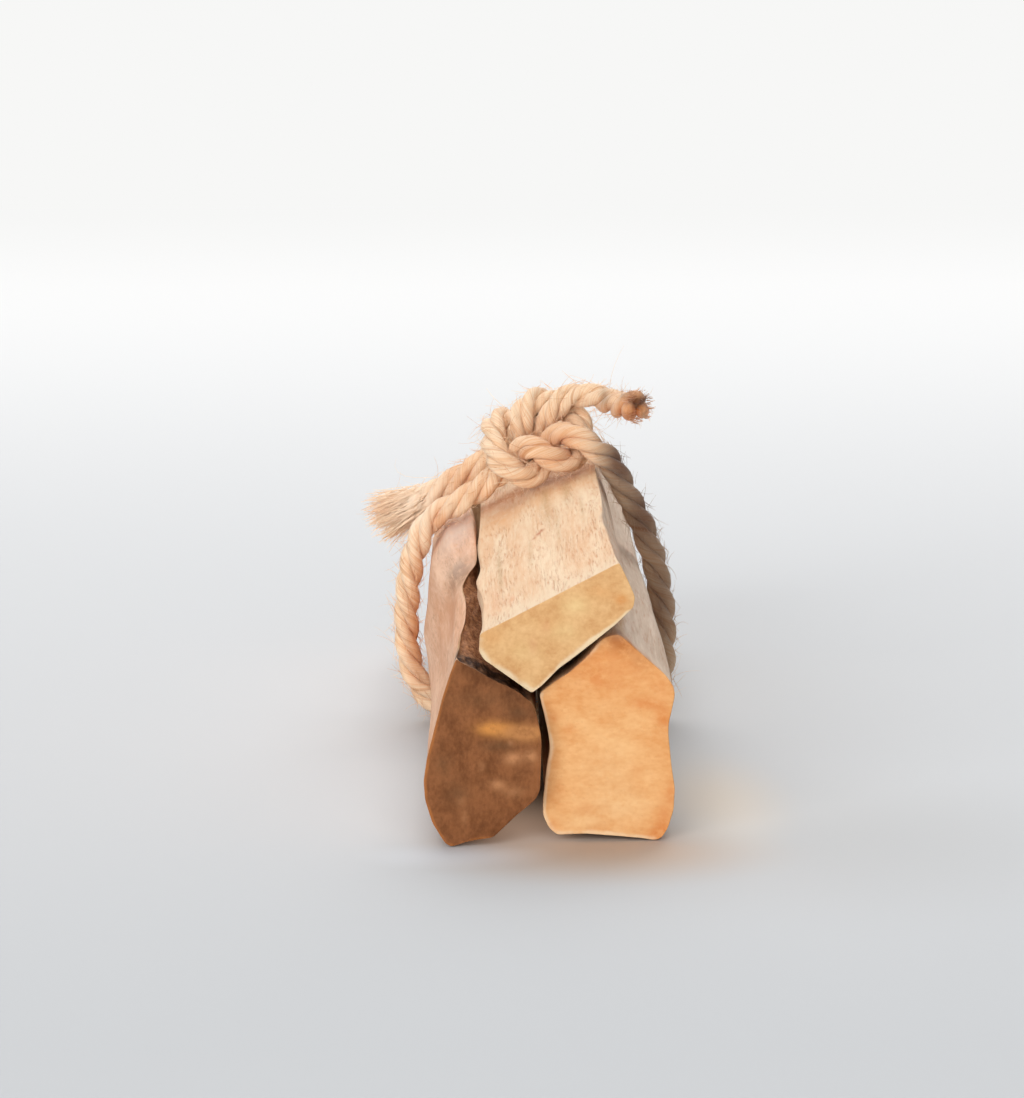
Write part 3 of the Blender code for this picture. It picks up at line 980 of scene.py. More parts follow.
    def surface(self) -> Surface:
        """The whole stick as one closed surface of two parameters: round it, and from end to end.

        On the sides a point is the outline's, moved in by its depth. On an end it lies on the
        straight line from the middle of the section to the outline, on a plane that the saw
        left very slightly uneven.

        Returns:
            The surface with its values: sawn, rim, brink, each zone and each stain.
        """
        distance, inset, reach, cut = self.rows()
        outline = self.sections(distance)
        normal = self.inward(outline)
        edge = outline + normal * self.depth(distance, inset, outline)[..., None]
        middle = edge.mean(axis=1, keepdims=True)
        flat = middle + (edge - middle) * reach[:, None, None]
        to_edge = np.linalg.norm(edge - middle, axis=2) * (1 - reach[:, None])
        rings, cells = self.saw_cells
        rings = reach[:, None] * rings
        uneven = lattice_noise(self.round_share(), rings, cells, self.seed + Draw.SAW)
        uneven = self.saw_drift * uneven * (reach * cut)[:, None]
        inwards = np.where(distance < (self.near_end + self.far_end) / 2, 1.0, -1.0)
        y = distance[:, None] + inwards[:, None] * uneven
        grid = np.stack([flat[..., 0], y, flat[..., 1]], axis=-1)
        poles = grid[[0, -1]].mean(axis=1)
        points = np.concatenate([poles[:1], grid.reshape(-1, 3), poles[1:]])

        facing = smooth_step(*self.rim_turn, -(normal @ np.array(self.rim_side)))
        rim = np.exp(-((to_edge / self.rim_width) ** 2)) * np.where(cut[:, None] > 0, facing, 0.0)
        brink = smooth_step(*self.brink_reach, self.from_end(distance))[:, None]
        shares = {"sawn": cut[:, None], "rim": rim, "brink": brink}
        shares |= {zone.name: self.zone_share(zone, distance) for zone in self.zones}
        values = {name: np.pad((share + 0 * rim).ravel(), 1, "edge") for name, share in shares.items()}
        values |= {stain.name: stain.strength(points) for stain in self.stains}
        return Surface(points, *tubes_between_poles(1, len(distance), self.columns), values)

    def build(self) -> bpy.types.Object:
        """Makes the stick, in place of its plain solid.

        Returns:
            The piece.
        """
        finish = self.finish.make(self.zones, self.stains)
        piece = make_piece(self.node + "_split", self.surface(), finish, radians(50))
        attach(piece, "root")
        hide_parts(self.node)
        return piece


STILL: Track = ((0, 0, 0), (97, 0, 0))

TOP = Stick(
    node="stick_top",
    slot="pale_wood",
    near_end=1.0,
    far_end=96.0,
    outline=(
        (-5.6, 6.05), (0.8, 9.35), (7.05, 12.65), (7.85, 11.0), (8.5, 9.4), (8.35, 8.4), (6.7, 6.8),
        (3.8, 4.45), (1.5, 2.65), (0.1, 1.2), (-0.85, 0.45), (-2.85, 1.9), (-5.2, 3.6), (-5.7, 4.4),
    ),
    drift={
        0: ((0, 0, 0), (17, 0, 0.05), (22, -0.45, 0.1), (27, 0, 0.1), (42, -0.2, 0.3), (57, 0.15, 0.5),
            (75, 0.1, 0.2), (96, 0.5, -0.4)),
        1: ((0, 0, 0), (30, 0, 0.15), (57, 0, 0.4), (96, 0, -0.5)),
        2: ((0, 0, 0), (11, -0.35, -0.1), (22, -0.75, -0.15), (35, -0.4, -0.35), (45, -0.4, -0.6),
            (56, -0.4, -0.8), (75, -0.9, -1.0), (96, -1.3, -1.7)),
        4: ((0, 0, 0), (54, -0.8, -0.3), (96, -1.0, -0.8)),
        6: STILL,
        10: STILL,
        12: ((0, 0, 0), (57, 0.25, 0.35), (96, 0.5, 0.2)),
    },
    relief=0.28,
    seed=3,
    bevel=0.08,
    ridge=0.1,
    rim_side=(-0.35, -0.94),
    rim_width=0.55,
    finish=PaloSantoFinish(
        name="split_palo_santo_sapwood",
        sides=Tone("#edd3b2", "#e1b58d"),
        end=Tone("#e8bc84", "#cf965d"),
        rim="#f2e0bd",
        vessel="#cf875a",
        brink="#e8d0b0",
        brink_share=0.7,
        vessel_share=0.6,
        mottle=(2.0, 9.0, 1.8),
        fibre_depth=0.14,
    ),
    # The shaded flank's greyer, darker tone is painted shade on the side away from the light.
    zones=(Side("shaded_flank", (2.1, 8.9), 0.5, Tone("#d8bfa6", "#b9957a"), ridge=0.14),),
    stains=(
        Stain("resin_spot", "#d9914c", end_spots(
            1.0, 1.5, (7.2, 9.2, 0.55, 0.5, 0.85), (5.3, 9.9, 1.1, 0.6, 0.35), (-4.6, 5.8, 1.0, 0.8, 0.3),
            (0.6, 6.8, 0.8, 0.6, 0.25),
        )),
        Stain("pale_yellow", "#f0d598", end_spots(
            1.0, 1.5, (3.0, 8.6, 1.2, 0.8, 0.5), (2.0, 6.2, 1.2, 0.8, 0.4), (-1.4, 4.4, 1.4, 1.0, 0.3),
        )),
        # The left face's own orange-brown, darkened as painted shade.
        Stain("amber_edge", "#b4692f", (Patch((-5.9, 14.0, 4.9), (0.45, 10.0, 1.4), 0.95),)),
        # Warm grain near the sawn end; the patch at 48 mm beside the twine is painted warm shade.
        Stain("warm_grain", "#dda077", (
            Patch((-2.65, 9.5, 7.5), (0.4, 1.2, 0.4), 0.9), Patch((-4.4, 13.0, 6.7), (1.3, 4.5, 0.8), 0.45),
            Patch((-0.75, 1.0, 4.9), (0.4, 2.0, 0.9), 0.35), Patch((0.4, 1.0, 6.7), (0.4, 2.0, 0.6), 0.3),
            Patch((-3.4, 48.0, 7.7), (2.4, 4.0, 1.4), 0.55),
        )),
        # Painted contact shadow along the line where the twine meets the top face.
        Stain("twine_mark", "#c28148", (
            Patch((-4.2, 55.4, 7.4), (1.8, 2.8, 1.4), 0.9), Patch((-1.6, 55.0, 8.6), (1.8, 2.8, 1.4), 0.9),
            Patch((1.4, 54.4, 10.2), (1.8, 2.6, 1.4), 0.9), Patch((4.4, 53.6, 11.7), (1.8, 2.4, 1.4), 0.9),
            Patch((6.6, 52.6, 12.2), (1.4, 2.4, 1.4), 0.9),
        )),
        Stain("twine_shade", "#664430", (Patch((7.6, 50.5, 11.4), (1.1, 6.0, 2.6), 0.9),)),
        # Painted warm shade on the top face beside the twine, orange as light thrown back from it.
        Stain("toasted_grain", "#e2a468", (
            Patch((-4.0, 46.0, 7.6), (2.6, 5.0, 1.6), 0.5), Patch((0.5, 47.0, 9.8), (3.4, 5.0, 1.6), 0.4),
            Patch((5.0, 47.0, 12.0), (2.4, 4.0, 1.6), 0.35),
        )),
        Stain("olive_streaks", "#b08a5c", (
            Patch((1.2, 42.0, 10.0), (0.5, 8.0, 0.6), 0.75), Patch((3.3, 46.0, 11.0), (0.5, 7.0, 0.6), 0.8),
            Patch((5.9, 45.0, 12.4), (0.5, 7.0, 0.6), 0.7), Patch((-3.5, 20.0, 7.1), (0.25, 6.0, 0.4), 0.4),
            Patch((2.1, 31.0, 10.2), (0.25, 8.0, 0.4), 0.4), Patch((4.6, 33.0, 11.4), (0.25, 7.0, 0.4), 0.35),
            Patch((-0.6, 24.0, 8.7), (0.25, 7.0, 0.4), 0.35), Patch((-3.6, 27.0, 7.1), (0.25, 6.0, 0.4), 0.4),
        )),
        Stain("red_sliver", "#b5532c", (
            Patch((-0.25, 30.2, 8.85), (0.26, 0.5, 0.3), 0.8), Patch((0.2, 31.0, 9.1), (0.28, 0.5, 0.3), 1.0),
            Patch((0.6, 31.8, 9.3), (0.26, 0.5, 0.3), 0.9), Patch((7.85, 13.0, 10.9), (0.6, 1.2, 0.13), 0.8),
        )),
    ),
)

LEFT = Stick(
    node="stick_left",
    slot="dark_wood",
    near_end=0.0,
    far_end=97.0,
    outline=(
        (-7.75, 4.05), (-5.25, 2.6), (-3.9, 1.8), (-2.6, 1.25), (-1.35, 0.4), (-0.7, -0.45), (-0.25, -1.8),
        (0.05, -3.6), (0.05, -5.65), (-0.1, -8.4), (-0.5, -9.25), (-2.1, -10.6), (-4.35, -12.8),
        (-6.6, -13.15), (-8.2, -13.7), (-8.8, -13.35), (-9.95, -11.4), (-10.6, -9.2), (-10.72, -7.4),
        (-10.4, -5.2), (-9.65, -2.2), (-8.95, 0.55), (-8.3, 2.6),
    ),
    drift={
        0: ((0, 0, 0), (8, 0.15, 0), (17, 0.8, 0), (26, 0.75, 0.1), (31, 0.5, 0.1), (35, 1.1, 0.3),
            (40, 2.05, 0.35), (48, 1.85, 1.7), (57, 1.7, 2.2), (70, 1.2, 1.1), (97, 0.8, -1.2)),
        1: ((0, 0, 0), (40, 0, 0.1), (57, -0.1, 0.1), (97, 0.2, -0.3)),
        4: STILL,
        9: STILL,
        12: ((0, 0, 0), (57, 0, 0.1), (97, 0.2, 0.9)),
        14: ((0, 0, 0), (57, 0, 0.05), (97, 0.5, 0.6)),
        17: ((0, 0, 0), (38, 0, 0), (48, -0.35, -0.1), (62, -0.35, -0.1), (97, 0.5, 0)),
        19: ((0, 0, 0), (38, -0.1, 0), (48, -0.8, 0.3), (62, -0.85, 0.3), (97, 0.3, 0)),
        21: ((0, 0, 0), (38, -0.1, 0.1), (48, -1.5, 1.4), (60, -1.6, 1.5), (75, -1.0, 0.9), (97, 0.1, 0)),
        22: ((0, 0, 0), (31, 0.2, 0.1), (38, 0.3, 0.4), (48, -0.5, 2.2), (60, -0.6, 2.4), (75, -0.3, 1.3),
             (97, 0.4, -0.2)),
    },
    relief=0.4,
    seed=11,
    bevel=0.07,
    rim_width=0.3,
    finish=PaloSantoFinish(
        name="sawn_palo_santo_heartwood",
        sides=Tone("#c9a47c", "#a87c55"),
        end=Tone("#955f3a", "#6b3f22"),
        rim="#c47a40",
        vessel="#9a6a4a",
        brink="#c39a78",
        brink_share=0.2,
        rim_share=0.5,
        mottle=(1.7, 9.0, 2.6),
        mottle_range=(0.36, 0.78),
        end_roughness=0.6,
        shine=0.12,
    ),
    zones=(
        Side("pale_flank", (15.0, 23.15), 0.3, Tone("#f0c8aa", "#daa684"), ridge=0.12),
        Side("crumbled_top", (0.15, 4.6), 0.25, Tone("#bb845a", "#764a2f"), ridge=0.2, crumb=0.42,
             span=(-10.0, 43.0)),
    ),
    stains=(
        Stain("resin_streak", "#d8924a", end_spots(
            0.0, 2.0, (-4.6, -2.5, 1.2, 0.62, 1.0), (-3.2, -2.7, 1.0, 0.6, 0.7),
        )),
        Stain("resin_trail", "#bd824e", end_spots(
            0.0, 2.0, (-2.0, -2.9, 1.7, 0.7, 1.3), (-0.5, -3.0, 1.0, 0.7, 0.6),
        )),
        Stain("pale_flecks", "#c0865a", end_spots(
            0.0, 1.5, (-2.6, -5.3, 0.8, 0.55, 1.0), (-0.9, -5.1, 0.6, 0.6, 0.95),
            (-4.0, -7.8, 0.7, 0.45, 0.85), (-2.6, -8.4, 1.0, 0.6, 0.5), (-2.8, -3.9, 0.3, 0.3, 0.7),
            (-5.4, -6.0, 0.3, 0.5, 0.4), (-7.3, -9.3, 0.35, 0.4, 0.5), (-7.0, -10.8, 0.3, 0.7, 0.45),
        )),
        # Painted shadow that the top stick casts on the left stick's top near the end.
        Stain("dark_crevice", "#2d170c", (
            Patch((-7.0, 3.0, 3.7), (1.1, 2.2, 1.0), 1.2), Patch((-5.6, 3.4, 2.8), (1.5, 2.6, 1.0), 1.4),
            Patch((-3.8, 3.4, 1.8), (1.6, 2.6, 0.9), 1.7), Patch((-1.8, 3.2, 0.7), (1.6, 2.6, 0.9), 1.7),
        )),
        Stain("brown_shadow", "#8f6448", (
            Patch((-8.0, 38.5, 2.4), (1.5, 4.0, 1.3), 0.6), Patch((-7.0, 37.0, 3.8), (0.9, 4.0, 0.9), 0.6),
        )),
        # Painted warm bounce light on the side facing the gap between the lower sticks.
        Stain("amber_gap", "#c0702c", (Patch((0.2, 8.0, -5.0), (0.9, 5.0, 5.0), 0.9),)),
        Stain("olive_heart", "#65482f", end_spots(
            0.0, 1.5, (-3.9, -4.15, 1.4, 0.55, 0.6), (-8.9, -6.0, 0.8, 1.1, 0.4),
            (-7.6, -8.6, 1.2, 1.2, 0.4),
        ) + end_spots(0.0, 1.2, (-5.4, 0.2, 2.5, 0.8, 0.35), (-2.0, -1.0, 1.4, 0.7, 0.45))),
        Stain("orange_flank", "#cf8f66", (
            Patch((-8.8, 30.0, 1.4), (1.1, 6.0, 1.8), 1.0), Patch((-9.6, 37.0, -1.5), (1.0, 5.0, 1.6), 0.6),
        )),
        # Painted shade on the front slope of the shoulder.
        Stain("grey_band", "#a18777", (Patch((-7.6, 40.5, 3.6), (1.6, 2.6, 1.3), 0.75),)),
        Stain("lilac_shoulder", "#dec6b8", (Patch((-7.8, 53.0, 5.0), (2.6, 8.0, 2.6), 0.8),)),
    ),
    swells=(Patch((-6.0, 50.0, 5.2), (1.0, 10.0, 1.3), 0.4),),
)

RIGHT = Stick(
    node="stick_right",
    slot="tan_wood",
    near_end=2.2,
    far_end=97.5,
    outline=(
        (-0.25, 0.2), (1.1, 1.25), (2.6, 2.2), (4.1, 3.6), (5.3, 5.1), (6.0, 5.55), (7.1, 5.75), (8.6, 4.4),
        (9.8, 3.3), (11.35, 1.9), (12.1, 0.85), (12.25, -0.1), (11.68, -2.6), (11.62, -3.55), (11.95, -6.65),
        (12.3, -8.8), (12.2, -10.9), (11.75, -12.5), (11.15, -13.5), (10.55, -13.8), (9.3, -13.55),
        (7.2, -13.35), (4.2, -13.1), (1.45, -13.25), (0.65, -12.5), (0.15, -11.3), (0.15, -9.75),
        (0.5, -6.6), (0.8, -5.05), (0.66, -3.8), (0.35, -2.25), (-0.1, -0.4),
    ),
    drift={
        3: STILL,
        6: ((0, 0, 0), (56, 0, -0.1), (97, 0.2, -0.4)),
        9: ((0, 0, 0), (25, 0.1, 0.2), (54, -0.3, 0.1), (97, -0.7, -0.6)),
        11: ((0, 0, 0), (25, 0.0, 0), (54, -0.75, -0.1), (97, -0.8, -0.2)),
        13: ((0, 0, 0), (20, 0.2, 0), (54, 0.2, 0), (97, 0.1, 0)),
        15: ((0, 0, 0), (54, 0.0, 0), (97, -0.4, 0.2)),
        19: ((0, 0, 0), (56, 0.05, 0), (97, -0.6, 0.7)),
        22: ((0, 0, 0), (56, 0, 0), (97, 0, 0.9)),
        24: ((0, 0, 0), (97, 0.2, 0.6)),
        27: STILL,
        31: STILL,
    },
    relief=0.3,
    seed=7,
    bevel=0.08,
    finish=PaloSantoFinish(
        name="sawn_palo_santo_tan",
        sides=Tone("#dcbf9b", "#bf9468"),
        end=Tone("#f4bd80", "#e39a58"),
        mottle=(3.2, 9.0, 1.8),
        rim="#fbdfb8",
        vessel="#b9764e",
        brink="#ead5bd",
        vessel_share=0.5,
        rim_share=0.65,
    ),
    zones=(Side("grey_flank", (6.4, 11.0), 0.5, Tone("#e3cdb8", "#cbb097"), ridge=0.14),),
    stains=(
        Stain("orange_heart", "#dd8642", end_spots(
            2.2, 2.0, (9.7, -0.8, 1.5, 0.6, 0.75), (11.2, -2.2, 0.8, 1.0, 0.85), (6.2, 2.6, 4.2, 2.6, 0.55),
            (11.0, 0.6, 1.0, 1.0, 0.3), (11.9, -9.3, 0.6, 1.1, 0.7), (11.2, -11.6, 0.8, 1.6, 0.75),
            (10.8, -13.1, 0.9, 0.7, 0.95), (1.2, -2.0, 0.5, 0.5, 0.6), (2.7, -3.1, 0.5, 0.4, 0.45),
            (5.0, 1.6, 0.9, 0.7, 0.35), (4.1, -10.8, 0.6, 0.5, 0.55), (8.7, -7.1, 0.5, 0.5, 0.35),
            (1.2, -12.2, 0.6, 0.6, 0.4), (1.6, -8.6, 0.5, 0.5, 0.3),
        )),
        Stain("toasted_corner", "#bd7238", end_spots(
            2.2, 2.0, (7.6, 4.6, 1.4, 0.8, 1.0), (6.6, 5.3, 0.8, 0.5, 0.7), (9.2, 3.2, 1.0, 0.7, 0.5),
        )),
        Stain("pale_middle", "#fcd7a0", end_spots(
            2.2, 2.0, (6.0, -7.0, 2.8, 3.6, 0.3), (7.4, -10.6, 3.0, 1.8, 0.4), (3.6, -12.0, 2.0, 0.9, 0.35),
        )),
        # Painted warm bounce light on the side facing the gap between the lower sticks.
        Stain("amber_gap", "#c8742e", (Patch((0.2, 9.0, -5.0), (0.9, 5.0, 5.0), 0.9),)),
        # Painted shade in the gap between the top stick and this one, near the end.
        Stain("dark_gap", "#40241a", (
            Patch((1.4, 6.6, 1.4), (1.6, 2.4, 1.4), 1.0), Patch((3.4, 6.6, 3.0), (1.6, 2.4, 1.4), 1.0),
            Patch((5.2, 6.6, 4.9), (1.2, 2.4, 1.0), 0.9),
        )),
        Stain("brown_smudge", "#98755c", (Patch((7.1, 3.4, 5.7), (0.8, 2.2, 0.5), 0.7),)),
    ),
)


class Hand(Enum):
    """Which way two strands are wound round each other."""

    RIGHT = 1
    LEFT = -1


@dataclass
class JuteTwine:
    """Three-ply jute twine, once round the sticks and tied in two half knots on the top one.

    Lengths are in millimetres. The knot stands on the sloping upper face of the top stick: a
    point of it is (along the slope, back, off the face). An axis is (back, height), a span is
    where the turns start and end along the slope, and a bend is where a strand passes from
    the lower turns to the upper ones. The fibre ridges are (number round the ply, length,
    share): noise with cells of that size, and its share of the height. The ridge height is
    the least share of the ply's radius and what the ridges add to it. A swell is (length, how
    much it changes).
    """

    node: str = "jute_twine"
    slot: str = "jute"
    radius: float = 1.35
    gap: float = 0.3
    lay: float = 9.0
    step: float = 1.25
    knot_centre: Triple = (0.8, 52.6, 9.8)
    knot_slope: float = radians(24.5)
    turn_radius: float = 1.4
    lower_axis: Pair = (-0.2, 3.05)
    upper_axis: Pair = (2.6, 5.8)
    lower_span: Pair = (-2.4, 6.4)
    upper_span: Pair = (1.0, 7.0)
    right_bend: Triple = (7.6, 1.2, 5.2)
    left_bend: Triple = (-1.4, 1.4, 5.6)
    half_turns: int = 3
    turn_points: int = 13
    ring: Track = (
        (-7.3, 53.9, 7.8), (-9.2, 54.2, 6.9), (-10.7, 54.5, 5.3), (-11.85, 54.8, 3.0), (-12.65, 55.1, 0.0),
        (-13.0, 55.3, -3.5), (-13.05, 55.5, -7.0), (-12.55, 55.6, -10.2), (-11.45, 55.6, -12.7),
        (-9.9, 55.6, -14.5), (-7.8, 55.5, -15.15), (-4.0, 55.4, -15.15), (0.0, 55.3, -15.15),
        (4.0, 55.2, -15.15), (8.0, 55.1, -15.2), (10.8, 55.0, -15.15), (12.6, 54.8, -14.1),
        (13.4, 54.6, -12.3), (13.8, 54.3, -10.2), (13.9, 54.0, -7.5), (13.8, 53.7, -4.7),
        (13.45, 53.5, -1.8), (12.85, 53.3, 0.9), (11.95, 53.1, 4.0), (11.0, 52.9, 6.8), (9.75, 52.7, 9.6),
        (8.4, 52.4, 12.1), (7.2, 52.2, 13.5),
    )
    left_tail: Track = (
        (-6.2, 56.0, 10.7), (-8.2, 56.8, 9.0), (-10.4, 57.5, 7.7), (-12.6, 58.1, 6.5), (-14.8, 58.6, 5.3),
    )
    right_tail: Track = ((8.0, 51.2, 18.0), (9.0, 49.2, 18.5), (9.9, 47.0, 18.9), (10.7, 44.8, 19.3))
    left_flare: float = 1.6
    right_flare: float = 1.15
    flare_length: float = 6.0
    underside_squash: float = 0.82
    underside: Pair = (-13.6, -14.8)
    press_rounds: int = 240
    last_rounds: int = 30
    press_share: float = 0.35
    press_margin: float = 0.08
    smooth_share: float = 0.12
    near_stretch: float = 4.2
    loose_heights: Pair = (6.0, 9.0)
    end_points: int = 4
    fine_points: int = 12
    stains: tuple[Stain, ...] = (
        Stain("paled", "#f8e2c9", (Patch((-12.0, 58.0, 7.0), (4.0, 5.0, 3.5), 0.8),)),
        # Warmer tone on the knot and the right tail; the patches on the inner side of the left strand are
        # painted shade.
        Stain("warmed", "#d3823c", (
            Patch((2.0, 51.0, 14.2), (3.8, 4.0, 2.8), 0.36), Patch((3.5, 51.0, 14.8), (1.2, 3.0, 1.6), 0.25),
            Patch((-3.6, 51.5, 8.6), (2.6, 3.0, 0.8), 0.35), Patch((-7.0, 56.0, 9.5), (2.2, 3.5, 1.8), 0.4),
            Patch((9.6, 47.0, 18.1), (1.3, 2.2, 0.9), 1.0), Patch((7.4, 50.2, 17.6), (1.2, 2.4, 1.2), 0.5),
            Patch((10.4, 45.5, 19.4), (1.8, 2.8, 1.6), 0.85), Patch((-9.4, 54.5, 5.6), (1.1, 3.0, 1.8), 0.65),
            Patch((-11.6, 55.0, 0.0), (0.7, 3.0, 3.4), 0.4),
            Patch((-12.1, 55.5, -7.0), (1.0, 3.0, 4.5), 0.75),
        )),
        # Browner tone at the right tail's end; on the right strand and beside the knot it is painted shade on
        # the side away from the light.
        Stain("browned", "#74503a", (
            Patch((13.4, 53.5, -3.0), (2.5, 6.0, 9.0), 0.82), Patch((11.2, 52.9, 7.0), (2.4, 6.0, 4.5), 0.82),
            Patch((9.0, 50.6, 12.6), (2.2, 5.0, 3.0), 0.95), Patch((10.8, 45.2, 19.7), (0.9, 2.0, 0.5), 0.8),
            Patch((7.4, 50.4, 19.4), (0.5, 1.8, 1.2), 0.6), Patch((11.4, 44.2, 20.2), (0.8, 1.6, 0.7), 0.6),
            Patch((9.2, 46.6, 20.4), (1.0, 1.8, 0.5), 0.5),
        )),
    )
    fray_lengths: Pair = (4.0, 0.7)
    frayed: float = 0.35
    plies: int = 3
    plies_apart: float = 40.0
    ply_radius: float = 0.655
    ply_offset: float = 0.695
    ply_columns: int = 34
    ply_step: float = 0.21
    fibre_twist: float = 7.5
    ridge_layers: Track = ((17, 5.5, 0.6), (29, 1.7, 0.4))
    ridge_height: Pair = (0.93, 0.13)
    ply_swell: Pair = (6.5, 0.1)
    offset_swell: Pair = (5.0, 0.12)
    swell_cells: int = 4
    ply_opening: float = 0.25
    opening_power: float = 1.4
    end_bulge: float = 0.25
    # Share and reach of the painted shade in the valleys between the plies.
    valley_share: float = 0.45
    valley_reach: Pair = (-0.1, -0.95)
    seed: int = 300
    finish: JuteFinish = field(default_factory=JuteFinish)

    def on_knot(self, along: float, back: float, height: float) -> Triple:
        """A point of the knot in the own frame."""
        x, y, z = self.knot_centre
        return (
            x + along * cos(self.knot_slope) - height * sin(self.knot_slope),
            y + back,
            z + along * sin(self.knot_slope) + height * cos(self.knot_slope),
        )

    def turned_pair(self, span: Pair, axis: Pair, hand: Hand) -> tuple[list[Triple], list[Triple]]:
        """Two strands wound round each other along the slope, three half turns.

        Args:
            span: where the turns start and end.
            axis: where their common axis lies.
            hand: which way they are wound.

        Returns:
            The strand that starts low at the left, and the one opposite it.
        """
        first, second = [], []
        for share in np.linspace(0, 1, self.turn_points):
            angle = -pi / 2 + hand.value * self.half_turns * pi * share
            along = span[0] + (span[1] - span[0]) * share
            back, up = self.turn_radius * cos(angle), self.turn_radius * sin(angle)
            first.append(self.on_knot(along, axis[0] + back, axis[1] + up))
            second.append(self.on_knot(along, axis[0] - back, axis[1] - up))
        return first, second

    def route(self) -> Array:
        """The line of the whole twine before it is pressed.

        Returns:
            Its points from the left cut end to the right one.
        """
        lower_left, lower_right = self.turned_pair(self.lower_span, self.lower_axis, Hand.RIGHT)
        upper_right, upper_left = self.turned_pair(self.upper_span, self.upper_axis, Hand.LEFT)
        points = [*self.left_tail[::-1], *upper_right, self.on_knot(*self.right_bend), *lower_left[::-1]]
        points += [*self.ring, *lower_right[::-1], self.on_knot(*self.left_bend)]
        return np.array([*points, *upper_left, *self.right_tail])

    def evenly(self, points: Array, step: float) -> Array:
        """Spaces a line evenly.

        Args:
            points: the points that a smooth curve is led through.
            step: the distance between the new points.

        Returns:
            The new points on that curve.
        """
        places = walked_along(points)
        fine = curve_through(places, points, np.linspace(0, places[-1], self.fine_points * len(points)))
        lengths = walked_along(fine)
        wanted = np.linspace(0, lengths[-1], round(lengths[-1] / step) + 1)
        return np.stack([np.interp(wanted, lengths, fine[:, k]) for k in range(3)], axis=1)

    def flattening(self, points: Array) -> Array:
        """How far the twine keeps its height at each point: it is pressed flat under the bundle."""
        high, low = self.underside
        return 1 - (1 - self.underside_squash) * np.clip((high - points[:, 2]) / (high - low), 0, 1)

    def off_wood(self, points: Array, outlines: Array) -> Array:
        """How far each point has to move, as (right, up), for the twine to clear one stick.

        The nearest place on the sides of the stick's section is found, and a point closer than
        the twine's reach and the gap moves straight away from it.

        Args:
            points: points of the twine's line.
            outlines: the stick's section at each of them.

        Returns:
            The move of each point.
        """
        side = np.roll(outlines, -1, axis=1) - outlines
        here = points[:, None, [0, 2]] - outlines
        share = np.clip((here * side).sum(axis=2) / (side**2).sum(axis=2), 0, 1)
        away = here - share[:, :, None] * side
        distance = np.linalg.norm(away, axis=2)
        row = np.arange(len(points))
        nearest = distance.argmin(axis=1)
        distance = distance[row, nearest][:, None]
        away = away[row, nearest] / distance
        flat = 1 - (1 - self.flattening(points)[:, None]) * np.abs(away[:, 1:])
        return away * np.clip(self.radius * flat + self.gap - distance, 0, None)

    def pressed(self, points: Array, sticks: Sequence[Stick]) -> Array:
        """The twine drawn snug: its strands a diameter apart, and all of it clear of the wood.

        Each round pushes strands that are too close apart, evens the line, and moves it off
        the wood. Only the knot moves freely.

        Args:
            points: evenly spaced points of the line.
            sticks: the sticks that it holds.

        Returns:
            The points after the last round.
        """
        count = len(points)
        apart = np.abs(np.subtract.outer(np.arange(count), np.arange(count))) * self.step
        low, high = self.loose_heights
        loose = np.clip((points[:, 2] - low) / (high - low), 0, 1)[:, None]
        loose[: self.end_points] = 0
        loose[-self.end_points :] = 0
        outlines = []
        for stick in sticks:
            sections = stick.sections(points[:, 1])
            outlines.append(sections + stick.inward(sections) * stick.wave_depth(points[:, 1])[..., None])
        for number in range(self.press_rounds):
            offset = points[:, None] - points[None]
            distance = np.linalg.norm(offset, axis=2) + 1e-9
            short = np.clip(2 * self.radius + self.press_margin - distance, 0, None)
            short[apart < self.near_stretch] = 0
            push = (offset / distance[:, :, None] * short[:, :, None]).sum(axis=1)
            points = points + self.press_share * loose * push
            if number < self.press_rounds - self.last_rounds:
                middle = (np.roll(points, 1, axis=0) + np.roll(points, -1, axis=0)) / 2
                points = points + self.smooth_share * loose * (middle - points)
            for sections in outlines:
                points[:, [0, 2]] += self.off_wood(points, sections)
        return points

    def line(self, sticks: Sequence[Stick]) -> Array:
        """The twine's finished centre line, as evenly spaced points."""
        points = self.evenly(self.pressed(self.evenly(self.route(), self.step), sticks), self.step)
        return self.evenly(points, self.ply_step)

    def frames(self, points: Array) -> tuple[Array, Array, Array]:
        """The line's direction and two directions across it, carried along without twisting.

        Args:
            points: the line.

        Returns:
            Along, side and up at each point, each of length one.
        """
        along = unit(np.gradient(points, axis=0))
        side = np.cross(along[0], (0.0, 0.0, 1.0))
        sides = []
        for direction in along:
            side = side - direction * (side @ direction)
            side = side / np.linalg.norm(side)
            sides.append(side)
        return along, np.array(sides), np.cross(np.array(sides), along)

    def flare(self, points: Array) -> Array:
        """How much the twine opens towards its cut ends.

        Args:
            points: the twine's line.

        Returns:
            At each point 1, and more in the last stretch.
        """
        walked = self.ply_step * np.arange(len(points))
        left = smooth_step(self.flare_length, 0, walked) * (self.left_flare - 1)
        right = smooth_step(self.flare_length, 0, walked[::-1]) * (self.right_flare - 1)
        return 1 + left + right

    def uneven(self, walked: Array, swell: Pair, seed: int) -> Array:
        """Numbers near 1 that change along the twine as the swell says."""
        noise = lattice_noise(np.array(0.0), walked / swell[0], self.swell_cells, self.seed + seed)
        return 1 + swell[1] * (noise - 0.5)

